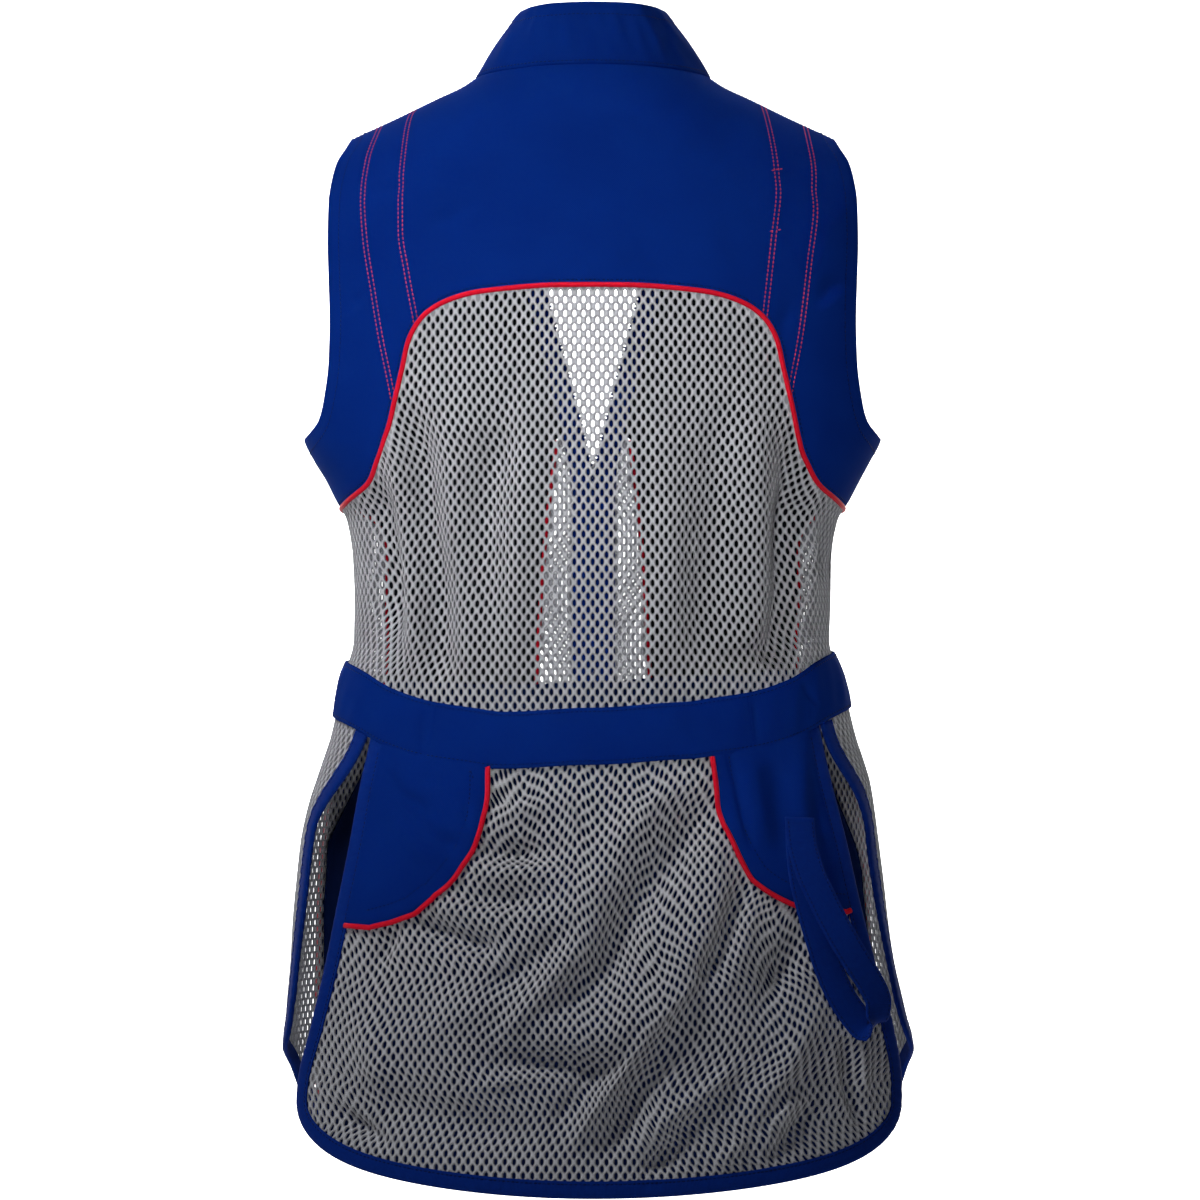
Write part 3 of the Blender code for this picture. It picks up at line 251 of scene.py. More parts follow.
BLUE = (0.0008, 0.0150, 0.150), (0.0016, 0.0230, 0.200)
drill = make_drill("drill_blue", *BLUE)
# The pocket lining drifts between navy drill and a near-black brown; the dark part is painted shade of the
# inside
lining_and_shade_cloth = make_drill("drill_lining_and_painted_shade", (0.0060, 0.0050, 0.0040), (0.0005, 0.0170, 0.120), drift=14.0)
# Near-black grey for the front panels' inner face: painted shade of the vest's inside, where the drill is
# navy
painted_inside_shade = make_drill("inside_painted_shade", (0.0090, 0.0090, 0.0110), (0.0150, 0.0152, 0.0190))
print("drill:", [made.name for made in (drill, lining_and_shade_cloth, painted_inside_shade)])

# %% Knitted mesh yarn
HOLE_ACROSS, HOLE_DOWN = 6.0 * MM, 9.0 * MM
HOLE_SIZE = (2.6 * MM, 5.0 * MM)
KNIT_WALE, KNIT_COURSE = 1.5 * MM, 1.2 * MM
GLOW_SHARE = 0.35


def from_hole(tree, place, stagger):
    """Distance from the nearest hole of one of the two staggered sets, in hole radii."""
    pitch = (HOLE_ACROSS, HOLE_DOWN)
    radii = [2 * p / size for p, size in zip(pitch, HOLE_SIZE)]
    cell = add_node(tree, "VectorMath", {0: place, 1: (1 / pitch[0], 1 / pitch[1], 0),
                                         2: (stagger, stagger, 0)}, operation="MULTIPLY_ADD")
    inside = add_node(tree, "VectorMath", {0: cell.outputs[0]}, operation="FRACTION")
    centred = add_node(tree, "VectorMath", {0: inside.outputs[0], 1: (*radii, 0),
                                            2: (-radii[0] / 2, -radii[1] / 2, 0)},
                       operation="MULTIPLY_ADD")
    return add_node(tree, "VectorMath", {0: centred.outputs[0]}, operation="LENGTH").outputs["Value"]


def make_yarn(name, dark, light):
    made, tree, shader = new_finish(name, roughness=0.7, sheen=0.1)
    place = add_node(tree, "TexCoord").outputs["UV"]
    # The knit is thick between the holes and falls away at their rims; its colour is painted darker there
    # as shade
    away = maths(tree, "MINIMUM", from_hole(tree, place, 0.5), from_hole(tree, place, 0.0))
    swell = add_node(tree, "MapRange", {"Value": away, "From Min": 0.95, "From Max": 1.5},
                     interpolation_type="SMOOTHSTEP").outputs[0]
    across, along = add_node(tree, "SeparateXYZ", {0: place}).outputs[:2]
    lean = maths(tree, "ADD", along, maths(tree, "PINGPONG", across, KNIT_WALE))
    loops = maths(tree, "SINE", maths(tree, "MULTIPLY", lean, 2 * math.pi / KNIT_COURSE))
    level = add_node(tree, "MapRange", {"Value": loops, "From Min": -1.0}).outputs[0]
    colour = mottled(tree, place, dark, light, scale=60.0)
    fibres = noise(tree, place, scale=1400.0)
    # Painted shade: the yarn is coloured darker towards the hole rims, and the knit loops and fibres vary
    # its tone
    for amount, value in ((0.45, swell), (0.25, level), (0.25, fibres)):
        colour = shade(tree, colour, amount, value)
    cover(tree, shader, colour, maths(tree, "MULTIPLY_ADD", swell, 3.0, level),
          strength=0.6, distance=0.16 * MM)
    # Light from behind glows through the thin knit
    through = add_node(tree, "BsdfTranslucent", {"Color": colour})
    both = add_node(tree, "MixShader", {0: GLOW_SHARE, 1: shader.outputs[0], 2: through.outputs[0]})
    tree.links.new(both.outputs[0], tree.nodes["Material Output"].inputs["Surface"])
    return made


yarn = make_yarn("mesh_grey", (0.69, 0.70, 0.75), (0.81, 0.82, 0.88))


# %% Binding, piping, threads and zip
def make_plain_cloth(name, dark, light, roughness, rib=0.0):
    """A small-scale cloth; rib is the pitch of its cross ribs along the object's strip."""
    made, tree, shader = new_finish(name, roughness, sheen=0.03, specular=0.02)
    place = add_node(tree, "TexCoord").outputs["UV" if rib else "Object"]
    if rib:
        height = add_node(tree, "TexWave", {"Vector": place, "Scale": WAVE_REPEAT / rib},
                          wave_type="BANDS", bands_direction="X").outputs["Fac"]
    else:
        height = noise(tree, place, scale=1500.0, detail=1.0)
    colour = shade(tree, mottled(tree, place, dark, light, scale=300.0), amount=0.2, value=height)
    cover(tree, shader, colour, height, strength=0.4, distance=0.1 * MM)
    return made


binding_cloth = make_plain_cloth("binding_blue", *BLUE, 0.7, rib=0.9 * MM)
piping_satin = make_plain_cloth("piping_red", (0.52, 0.004, 0.016), (0.66, 0.010, 0.032), 0.45)
red_thread = make_plain_cloth("thread_red", (0.50, 0.030, 0.060), (0.62, 0.050, 0.090), 0.5)
blue_thread = make_plain_cloth("thread_blue", (0.0006, 0.006, 0.055), (0.0010, 0.010, 0.080), 0.6)
tape_cloth = make_plain_cloth("tape_blue", *BLUE, 0.8, rib=0.7 * MM)
moulded_blue = make_plain_cloth("teeth_blue", *BLUE, 0.4)
METAL_SHADE = 0.8


def make_metal(name, colour, roughness):
    made, tree, shader = new_finish(name, roughness, metallic=1.0, specular=0.5)
    place = add_node(tree, "TexCoord").outputs["Object"]
    dark = tuple(METAL_SHADE * part for part in colour)
    scratches = noise(tree, place, scale=2500.0)
    cover(tree, shader, mottled(tree, place, dark, colour, scale=400.0), scratches,
          strength=0.15, distance=0.05 * MM)
    return made


metal = make_metal("metal_grey", (0.42, 0.43, 0.45), 0.35)
print("finishes:", [made.name for made in bpy.data.materials])

# %% [markdown]
# ## The surface the cloth lies on
# The body of the vest is a tube whose sections are rounded rectangles. A table gives their widths and
# depths down the height, and a smooth curve is read through each column. A point of the cloth is then
# an angle round the tube and a height. The folds are pushed out or in along the surface's normal.

# %% Sizes shared by every piece
WALL = 1.2 * MM
SEAM = 0.3 * MM
PIPING_RADIUS = 1.75 * MM
BINDING_WIDTH = 10 * MM
BAND_HALF = 18.2 * MM
NECK_HALF = 78 * MM
UNDERARM_Z = -0.2412
SIDE_SEAM_Z = -0.288
ZIP_OPEN_Z = -0.2576
SQUARENESS = 2.3
CREST_BACK = 70 * MM
CREST_FRONT = 90 * MM
# Angle of the side seams, and how far each panel's edge stays from it
SIDE = math.pi / 2
SEAM_ANGLE = 0.0012
# The wearer's left is on the side of +x
SIDES = {"left": 1, "right": -1}
WAIST_TILT = 3.2 * MM
TILT_SPAN = 0.35
MEAN_RADIUS = 0.2
MIDDLE = np.array([0, 0, -0.35])

# Sections of the body: height, left half, right half, depth behind, depth in front
BODY = (
    (0.040, 0.2000, 0.2000, 0.072, 0.070),
    (0.000, 0.2000, 0.2000, 0.077, 0.076),
    (-0.060, 0.2000, 0.2000, 0.086, 0.090),
    (-0.140, 0.2000, 0.2000, 0.096, 0.112),
    (-0.200, 0.1990, 0.1990, 0.100, 0.123),
    (-0.2412, 0.1936, 0.1930, 0.101, 0.127),
    (-0.255, 0.1870, 0.1860, 0.101, 0.126),
    (-0.268, 0.1790, 0.1790, 0.101, 0.125),
    (-0.281, 0.1725, 0.1722, 0.100, 0.124),
    (-0.295, 0.1650, 0.1640, 0.100, 0.122),
    (-0.321, 0.1610, 0.1600, 0.098, 0.118),
    (-0.348, 0.1600, 0.1595, 0.095, 0.114),
    (-0.375, 0.1605, 0.1585, 0.092, 0.111),
    (-0.402, 0.1680, 0.1670, 0.089, 0.110),
    (-0.420, 0.1715, 0.1715, 0.088, 0.110),
    (-0.440, 0.1760, 0.1765, 0.089, 0.111),
    (-0.470, 0.1900, 0.1900, 0.093, 0.112),
    (-0.520, 0.2030, 0.2050, 0.103, 0.114),
    (-0.570, 0.2080, 0.2140, 0.113, 0.116),
    (-0.640, 0.2130, 0.2220, 0.121, 0.118),
    (-0.740, 0.2170, 0.2260, 0.126, 0.119),
)
# Sections of the front flaps, below the waist, with the same columns
FLAP = (
    (-0.400, 0.1675, 0.1665, 0.089, 0.110),
    (-0.420, 0.1715, 0.1715, 0.088, 0.110),
    (-0.440, 0.1760, 0.1765, 0.089, 0.111),
    (-0.455, 0.1810, 0.1815, 0.090, 0.112),
    (-0.469, 0.1857, 0.1857, 0.092, 0.113),
    (-0.482, 0.1900, 0.1880, 0.093, 0.113),
    (-0.509, 0.1960, 0.1916, 0.095, 0.114),
    (-0.536, 0.1990, 0.1950, 0.097, 0.114),
    (-0.563, 0.2015, 0.1980, 0.099, 0.115),
    (-0.590, 0.2030, 0.2020, 0.101, 0.116),
    (-0.616, 0.2053, 0.2080, 0.102, 0.117),
    (-0.643, 0.2068, 0.2135, 0.103, 0.118),
    (-0.680, 0.2072, 0.2160, 0.103, 0.118),
    (-0.750, 0.2072, 0.2150, 0.104, 0.119),
)
# The shoulder line: distance from the middle, height
SHOULDER = (
    (0.000, 0.0340),
    (0.030, 0.0290),
    (0.0567, 0.0156),
    (0.078, 0.0020),
    (0.087, -0.0040),
    (0.104, -0.0120),
    (0.133, -0.0260),
    (0.155, -0.0360),
    (0.170, -0.0430),
    (0.200, -0.0550),
)
# Middle of the waistband: angle from the centre back in degrees, height
WAIST = (
    (0, -0.4370),
    (20, -0.4365),
    (27, -0.4340),
    (38, -0.4300),
    (50, -0.4225),
    (65, -0.4110),
    (75, -0.4070),
    (90, -0.4045),
    (120, -0.4050),
    (150, -0.4090),
    (180, -0.4110),
)


def curve(rows, column):
    """A smooth curve through a table, read against its first column, with no overshoot."""
    table = np.array(rows, float)
    table = table[np.argsort(table[:, 0])]
    at, value = table[:, 0], table[:, column]
    step = np.diff(at)
    slope = np.diff(value) / step
    tangent = np.zeros(len(at))
    tangent[0] = slope[0]
    tangent[-1] = slope[-1]
    for i in range(1, len(at) - 1):
        if slope[i - 1] * slope[i] > 0:
            before = 2 * step[i] + step[i - 1]
            after = step[i] + 2 * step[i - 1]
            tangent[i] = (before + after) / (before / slope[i - 1] + after / slope[i])

    def read(x):
        x = np.clip(x, at[0], at[-1])
        i = np.clip(np.searchsorted(at, x) - 1, 0, len(at) - 2)
        t = (x - at[i]) / step[i]
        start = (2 * t**3 - 3 * t**2 + 1) * value[i] + (t**3 - 2 * t**2 + t) * step[i] * tangent[i]
        end = (3 * t**2 - 2 * t**3) * value[i + 1] + (t**3 - t**2) * step[i] * tangent[i + 1]
        return start + end

    return read


def unit(ways):
    """Directions of length one."""
    return ways / np.linalg.norm(ways, axis=-1, keepdims=True)


def distances(points):
    """How far each point lies along its path."""
    return np.concatenate([[0], np.cumsum(np.linalg.norm(np.diff(points, axis=0), axis=-1))])


def sections(rows):
    return [curve(rows, column) for column in (1, 2, 3, 4)]


body_sections = sections(BODY)
flap_sections = sections(FLAP)
shoulder_height = curve(SHOULDER, 1)
waist_height = curve(WAIST, 1)


def smooth_step(value):
    t = np.clip(value, 0, 1)
    return t * t * (3 - 2 * t)


def waist(angle):
    """Height of the middle of the waistband at an angle round the body."""
    off_centre = smooth_step(np.abs(np.sin(angle)) / TILT_SPAN)
    return waist_height(np.degrees(np.abs(angle))) - WAIST_TILT * np.sign(angle) * off_centre


def section_point(angle, z, parts):
    """A point of the plain sheet at an angle (0 at the centre back) and a height."""
    left, right, behind, before = parts
    sine = np.sin(angle)
    cosine = np.cos(angle)
    half = np.where(sine > 0, left(z), right(z))
    depth = np.where(cosine > 0, behind(z), before(z))
    x = half * sine
    y = np.sign(cosine) * depth * np.maximum(1 - np.abs(sine) ** SQUARENESS, 0) ** (1 / SQUARENESS)
    crest = np.where(cosine > 0, CREST_BACK, CREST_FRONT)
    fall = np.clip((shoulder_height(np.abs(x)) - z) / crest, 0, 1)
    return np.stack([x, y * np.sqrt(1 - (1 - fall) ** 2), z + 0 * x], -1)


def frame_at(angle, z, place, reach=0.5 * MM):
    """Point, outward normal and the two slopes of a sheet."""
    turn = reach / MEAN_RADIUS
    point = place(angle, z)
    across = (place(angle + turn, z) - place(angle - turn, z)) / (2 * turn)
    down = (point - place(angle, z - reach)) / reach
    normal = unit(np.cross(across, down))
    outward = np.sum(normal * (point - MIDDLE), -1, keepdims=True)
    return point, normal * np.where(outward < 0, -1, 1), across, down


def on_cloth(net, place, lift=0.0):
    """Points and normals of a path or net of angles and heights."""
    point, normal, _, _ = frame_at(net[..., 0], net[..., 1], place)
    return point + normal * lift, normal


# %% [markdown]
# ## Folds
# The mesh hangs in soft folds: long slanting ones on the skirt, where the hips push it out, and
# upright ones under the shoulder blades. Each is a line on the sheet with a width and a depth, a
# trough where the depth is below zero. The depth wavers along the line, as no real fold is even.

# %% Folds of the sheet
# Folds start this far from the middle of the waistband and are full after this run
FOLD_FREE = 1.1 * BAND_HALF
FOLD_FADE = 1.6 * BAND_HALF
# A fold keeps this share of its depth at its ends, and wavers by this share along its line
FOLD_ENDS, FOLD_WAVER = 0.3, 0.18
# The power of that fade, the wavers along a fold, and what sets those of its neighbours off
FOLD_POWER, FOLD_WAVERS, FOLD_OFFSET = 0.6, 8, 60
# Half width and depth, then the line of the fold as distance from the middle and height, all in mm
BACK_FOLDS = (
    (9, -11, ((140, -278), (135, -309), (133, -341), (132, -374))),
    (8, 8.5, ((130, -247), (124, -289), (120, -328), (116, -361), (114, -397))),
    (10, -11, ((117, -230), (111, -263), (107, -302), (101, -345), (98, -400))),
    (12, 5.5, ((97, -234), (91, -286), (85, -341), (84, -400))),
    (13, -5.5, ((70, -256), (72, -302), (73, -345))),
    (12, 5.5, ((46, -214), (48, -276), (50, -341), (52, -400))),
    (13, -7, ((52, -211), (61, -250), (66, -283))),
    (10, -14, ((-128, -247), (-131, -279), (-129, -309), (-126, -345), (-118, -387))),
    (12, 7, ((-105, -224), (-107, -276), (-109, -328), (-107, -381))),
    (12, -5.5, ((-83, -230), (-80, -283), (-73, -341), (-70, -387))),
    (12, 5, ((-44, -224), (-50, -283), (-50, -341), (-47, -394))),
    (6, 5.5, ((-144, -289), (-145, -322), (-144, -351))),
    (6, -5.5, ((-152, -302), (-154, -341))),
    (6, -4, ((-83, -387), (-106, -382), (-122, -387))),
    (12, -12.5, ((-74, -486), (-54, -513), (-38, -530), (-26, -550), (-17, -568), (-7, -588),
              (18, -610))),
    (13, 5.5, ((-60, -461), (-34, -487), (-13, -511), (-1, -537), (8, -563), (28, -587))),
    (14, 9, ((-75, -508), (-78, -531), (-72, -561), (-57, -592), (-38, -616), (-13, -629), (23, -627))),
    (6.5, -8.5, ((-97, -535), (-89, -558), (-80, -579), (-71, -593))),
    (7, 4, ((-103, -548), (-95, -580), (-84, -603))),
    (10, -8.5, ((-134, -567), (-121, -592), (-110, -614))),
    (9, 6.5, ((-147, -613), (-126, -651), (-101, -685))),
    (10, -10.5, ((69, -646), (39, -647), (8, -650), (-18, -651))),
    (4.5, 7, ((-67, -595), (-39, -625), (-19, -654), (0, -679), (13, -701))),
    (8, -7, ((-5, -651), (8, -667), (23, -685))),
    (8, -10, ((-51, -635), (-34, -662), (-18, -687), (-7, -704))),
    (5.5, 7, ((-89, -654), (-69, -669), (-49, -682), (-34, -700))),
    (6, -8.5, ((-68, -685), (-51, -704), (-34, -717))),
    (4.5, -7, ((-147, -672), (-129, -696), (-116, -711))),
    (4, 5, ((-135, -667), (-111, -700))),
    (5, 5, ((-97, -698), (-81, -713))),
    (4, -7, ((-165, -638), (-168, -667), (-176, -691))),
    (4, 4, ((-178, -638), (-177, -671))),
    (8, -10, ((69, -513), (47, -511), (21, -509))),
    (7, 6.5, ((65, -493), (44, -484), (23, -480))),
    (6, 5.5, ((81, -524), (50, -524), (13, -526))),
    (7, -6.5, ((78, -541), (53, -542), (26, -541))),
    (6, -10, ((113, -557), (89, -567), (65, -574))),
    (7, 5, ((103, -545), (79, -551), (57, -558))),
    (13, 5.5, ((50, -582), (79, -613), (108, -625))),
    (8.5, -8.5, ((12, -560), (40, -582), (69, -602))),
    (7, 7, ((17, -583), (37, -606), (56, -626))),
    (5, -8.5, ((169, -680), (153, -691), (136, -700))),
    (15, -8.5, ((140, -675), (92, -685), (34, -698))),
    (4, 5, ((74, -662), (50, -658), (23, -658))),
    (4, -5, ((61, -484), (56, -473))),
    (4, -4, ((19, -521), (9, -524))),
    (4, -5.5, ((129, -565), (140, -584))),
    (5, 3.5, ((26, -461), (17, -482), (10, -503))),
    (8, 4, ((-18, -506), (-37, -482), (-58, -463))),
    (10, 5.5, ((150, -625), (142, -651), (140, -667))),
)
FRONT_FOLDS = (
    (16, -4, ((60, -470), (85, -640))),
    (15, -3.5, ((120, -500), (138, -650))),
    (16, -4, ((-70, -470), (-95, -650))),
    (15, -3.5, ((-124, -480), (-138, -640))),
    (14, -3.5, ((110, -270), (70, -390))),
    (14, -3.5, ((-110, -270), (-75, -390))),
)


def relief(x, z, folds):
    """Height of the folds over the plain sheet; each fades towards the ends of its line."""
    total = np.zeros(np.broadcast(x, z).shape)
    low, high = (np.min(x), np.min(z)), (np.max(x), np.max(z))
    for half_width, depth, line in folds:
        line = np.array(line) * MM
        reach = 3 * half_width * MM
        if np.any(np.min(line, 0) - reach > high) or np.any(np.max(line, 0) + reach < low):
            continue
        nearest, along = total + 1.0, total * 0.0
        for step, (start, end) in enumerate(zip(line, line[1:])):
            run = np.subtract(end, start)
            share = np.clip(((x - start[0]) * run[0] + (z - start[1]) * run[1]) / (run @ run), 0, 1)
            off = np.hypot(x - start[0] - share * run[0], z - start[1] - share * run[1])
            along = np.where(off < nearest, (step + share) / (len(line) - 1), along)
            nearest = np.minimum(off, nearest)
        fade = FOLD_ENDS + (1 - FOLD_ENDS) * np.sin(math.pi * along) ** FOLD_POWER
        waver = 1 + FOLD_WAVER * np.sin(FOLD_WAVERS * along + FOLD_OFFSET * line[0][0])
        total = total + depth * MM * fade * waver * np.exp(-(nearest / (half_width * MM)) ** 2)
    return total


def plain_body(angle, z):
    return section_point(angle, z, body_sections)


def plain_flap(angle, z):
    return section_point(angle, z, flap_sections)


def folded(plain):
    def place(angle, z):
        point, normal, _, _ = frame_at(angle, z, plain)
        behind = np.cos(angle) > 0
        x, height = point[..., 0], point[..., 2]
        rise = np.where(behind, relief(x, height, BACK_FOLDS), relief(x, height, FRONT_FOLDS))
        clear = smooth_step((np.abs(z - waist(angle)) - FOLD_FREE) / FOLD_FADE)
        return point + normal * (rise * clear)[..., None]
    return place


body = folded(plain_body)
flap = folded(plain_flap)


def angle_at(x, z, side, front=False, parts=body_sections):
    """Angle round the body of a distance from the middle on one side."""
    half = parts[0](z) if side > 0 else parts[1](z)
    lean = np.arcsin(np.clip(x / half, -1, 1))
    return side * (math.pi - lean if front else lean)


# %% [markdown]
# ## Paths and nets
# A piece of cloth is a net of points between its edges. The edges come from tables of the garment's
# own seams. The same helpers serve them all: a smooth path, a path beside another one, and a net
# stretched between four edges.

# %% Paths, edges and nets
def smooth_path(rows, count=120):
    """A fine smooth path through a table's points, spread by their distance apart."""
    rows = np.array(rows, float)
    run = distances(rows)
    table = np.column_stack([run / run[-1], rows])
    at = np.linspace(0, 1, count)
    return np.stack([curve(table, i + 1)(at) for i in range(rows.shape[1])], -1)


def chain(*stretches):
    """One path from stretches that share their ends."""
    first, *others = stretches
    return np.concatenate([first] + [stretch[1:] for stretch in others])


def beside(path, distance, place):
    """A path moved sideways over the sheet."""
    point, normal, across, down = frame_at(path[:, 0], path[:, 1], place)
    tangent = unit(np.gradient(point, axis=0))
    move = np.cross(normal, tangent) * distance
    moved = []
    for a, d, m in zip(across, down, move):
        moved.append(np.linalg.lstsq(np.stack([a, d], 1), m, rcond=None)[0])
    return path + np.array(moved)


def patch(top, bottom, left, right, fade=1):
    """A net of points between four edges; a higher fade keeps the top edge's shape near it."""
    columns, rows = len(top), len(left)
    s = np.linspace(0, 1, columns)[None, :, None]
    t = 1 - (1 - np.linspace(0, 1, rows)[:, None, None]) ** fade
    between_rows = (1 - t) * top[None] + t * bottom[None]
    between_columns = (1 - s) * left[:, None] + s * right[:, None]
    corners = ((1 - s) * (1 - t) * top[0] + s * (1 - t) * top[-1]
               + (1 - s) * t * bottom[0] + s * t * bottom[-1])
    return between_rows + between_columns - corners


def ruled(first, last, shares):
    """A net of straight lines from one edge to another, with points at the given shares."""
    return first[None] + (last - first)[None] * np.asarray(shares)[:, None, None]


def hem_curve(x_end, z_end, z_low, sag, power, roundness, x_start=0.0, count=160):
    """A hem from the middle outward, with a rounded corner up to the side edge."""
    r = np.sin(np.linspace(0, math.pi / 2, count))
    corner = 1 - (1 - r**power) ** (1 / roundness)
    rise = sag * r**2 + (1 - sag) * corner
    return np.stack([x_start + (x_end - x_start) * r, z_low + (z_end - z_low) * rise], -1)


def resample(path, shares, place):
    """A path's points again, at the given shares of its length over the sheet."""
    length = distances(place(path[:, 0], path[:, 1]))
    at = np.asarray(shares) * length[-1]
    return np.stack([np.interp(at, length, path[:, 0]), np.interp(at, length, path[:, 1])], -1)


def steps(count):
    return np.linspace(0, 1, count + 1)


def path_of(across, z):
    """A path from its distances or angles and its heights; one number can serve the whole path."""
    return np.stack(np.broadcast_arrays(across, z), -1)


def on_side(path, side, front=False, parts=body_sections):
    """Distances and heights turned into angles and heights."""
    angles = angle_at(path[:, 0], path[:, 1], side, front, parts)
    return path_of(angles, path[:, 1])


def both_sides(build):
    """One path from the wearer's right to the left, from a half that starts at the middle."""
    return chain(build(-1)[::-1], build(1))


def waist_path(angles, step):
    return path_of(angles, waist(angles) + step)


def fine(shares, times):
    """The shares again, with each step cut into several."""
    shares = np.asarray(shares, float)
    last = len(shares) - 1
    return np.interp(np.linspace(0, last, last * times + 1), np.arange(last + 1), shares)


def below_band(path):
    """The part of a path, given from the top, that the waistband leaves free."""
    free = waist(path[:, 0]) - BAND_HALF - SEAM
    first = int(np.argmax(path[:, 1] < free))
    above, under = path[first - 1], path[first]
    share = (above[1] - free[first]) / (above[1] - under[1])
    well_below = path[path[:, 1] < free - BINDING_WIDTH / 2]
    return np.concatenate([[above + share * (under - above)], well_below])


# %% [markdown]
# ## Cloth laid flat
# A weave or a row of holes runs straight on the uncut cloth. So each point also gets its place on the
# flat piece: how far it is from the centre line, measured along the cloth, and how far down.

# %% The flat place of each point
FLAT_STEPS = 60


def laid_flat(net, place, centre):
    """Across and up on the uncut cloth, seen from its right side, in metres."""
    share = np.linspace(0, 1, FLAT_STEPS)[:, None, None]
    turns = centre + (net[..., 0] - centre) * share
    row = place(turns, net[..., 1] + 0 * turns)
    across = np.sum(np.linalg.norm(np.diff(row, axis=0), axis=-1), axis=0)
    low = net[..., 1].min()
    heights = low + (net[..., 1] - low) * share
    column = place(net[..., 0] + 0 * heights, heights)
    up = np.sum(np.linalg.norm(np.diff(column, axis=0), axis=-1), axis=0)
    return np.stack([-np.sign(net[..., 0] - centre) * across, up], -1)


# %% [markdown]
# ## Shells of drill
# A cotton panel is a closed shell: its outer face, the same face one thickness in, and a rim between
# them that swells a little, as a turned edge does. A narrow extra row along the border keeps the
# rounding tight. A Solidify modifier would give a square rim, so the shell is made point by point.

# %% A closed shell on a net
EDGE_ROW = 0.9 * MM
RIM_SWELL = 0.35
# Creases of what lies on another panel go no deeper, or the panel beneath would show through
DEEPEST = 0.7 * MM


def with_edge_rows(grid, distance):
    """The grid with one more row and column close to each border."""
    for _ in range(2):
        first = grid[1, ..., :3] - grid[0, ..., :3]
        last = grid[-2, ..., :3] - grid[-1, ..., :3]
        near = distance / np.maximum(np.linalg.norm(first, axis=-1, keepdims=True), 2 * distance)
        far = distance / np.maximum(np.linalg.norm(last, axis=-1, keepdims=True), 2 * distance)
        top = grid[0] + (grid[1] - grid[0]) * near
        bottom = grid[-1] + (grid[-2] - grid[-1]) * far
        grid = np.concatenate([grid[:1], top[None], grid[1:-1], bottom[None], grid[-1:]])
        grid = np.swapaxes(grid, 0, 1)
    return grid


def grid_faces(number):
    """Four-sided faces between the numbered points of a grid."""
    corners = number[:-1, :-1], number[1:, :-1], number[1:, 1:], number[:-1, 1:]
    return np.stack(corners, -1).reshape(-1, 4)


def shell(name, outer, normal, wall, flat, cloth, inside=None):
    """A closed thin body on a grid of points, with its flat place as UV map."""
    grid = with_edge_rows(np.concatenate([outer, normal, flat], -1), EDGE_ROW)
    outer, normal, flat = grid[..., :3], grid[..., 3:6], grid[..., 6:8]
    normal = unit(normal)
    rows, columns = outer.shape[:2]
    inner = outer - normal * wall
    number = np.arange(rows * columns).reshape(rows, columns)
    loop = [(r, 0) for r in range(rows - 1)] + [(rows - 1, c) for c in range(columns - 1)]
    loop += [(rows - 1 - r, columns - 1 - c) for r, c in loop]
    r, c = np.array(loop).T
    border = number[r, c]
    inward = number[np.clip(r, 1, rows - 2), np.clip(c, 1, columns - 2)]
    flat_outer, flat_inner = outer.reshape(-1, 3), inner.reshape(-1, 3)
    out = unit(flat_outer[border] - flat_outer[inward])
    rim = (flat_outer[border] + flat_inner[border]) / 2 + out * wall * RIM_SWELL
    front = grid_faces(number)
    count = rows * columns
    back = front[:, ::-1] + count
    after = np.roll(np.arange(len(loop)), -1)
    low = 2 * count + np.arange(len(loop))
    upper_rim = np.stack([border[after], border, low, low[after]], 1)
    lower_rim = np.stack([low[after], low, border + count, border[after] + count], 1)
    faces = np.concatenate([front, back, upper_rim, lower_rim])
    points = np.concatenate([flat_outer, flat_inner, rim])
    middle = front[len(front) // 2]
    facing = np.cross(points[middle[2]] - points[middle[0]], points[middle[3]] - points[middle[1]])
    if facing @ normal.reshape(-1, 3)[middle[0]] < 0:
        faces = faces[:, ::-1]
    made = plain_mesh(name, points, faces)
    lying = flat.reshape(-1, 2)
    set_uv(made.data, np.concatenate([lying, lying, lying[border]]))
    made.data.materials.append(cloth)
    if inside:
        made.data.materials.append(inside)
        is_inner = [len(front) <= face < 2 * len(front) for face in range(len(faces))]
        made.data.polygons.foreach_set("material_index", is_inner)
    return made


def set_uv(data, by_point):
    """A UV map from one flat place for each point."""
    layer = data.uv_layers.new(name="UVMap")
    corner_point = np.zeros(len(data.loops), int)
    data.loops.foreach_get("vertex_index", corner_point)
    layer.data.foreach_set("uv", by_point[corner_point].ravel())


def give_vectors(data, name, vectors):
    """An attribute that gives each point a vector, for a tree to read."""
    data.attributes.new(name, "FLOAT_VECTOR", "POINT").data.foreach_set("vector", vectors.ravel())


cut_sizes = {}
outer_faces = {}


def net_area(flat):
    """Area of a net of points that lies flat, in square metres."""
    one, other = flat[1:, 1:] - flat[:-1, :-1], flat[1:, :-1] - flat[:-1, 1:]
    return float(np.abs(one[..., 0] * other[..., 1] - one[..., 1] * other[..., 0]).sum() / 2)


def note_cut(name, flat, strip=False):
    """Keeps the width, length and area that a piece is cut to; a strip is as long as its middle line."""
    area = net_area(flat)
    if strip:
        lines = flat[len(flat) // 2], flat[:, flat.shape[1] // 2]
        length = max(distances(line)[-1] for line in lines)
        cut_sizes[name] = (area / length, float(length), None)
    else:
        width, length = np.ptp(flat.reshape(-1, 2), axis=0)
        cut_sizes[name] = (float(width), float(length), area)


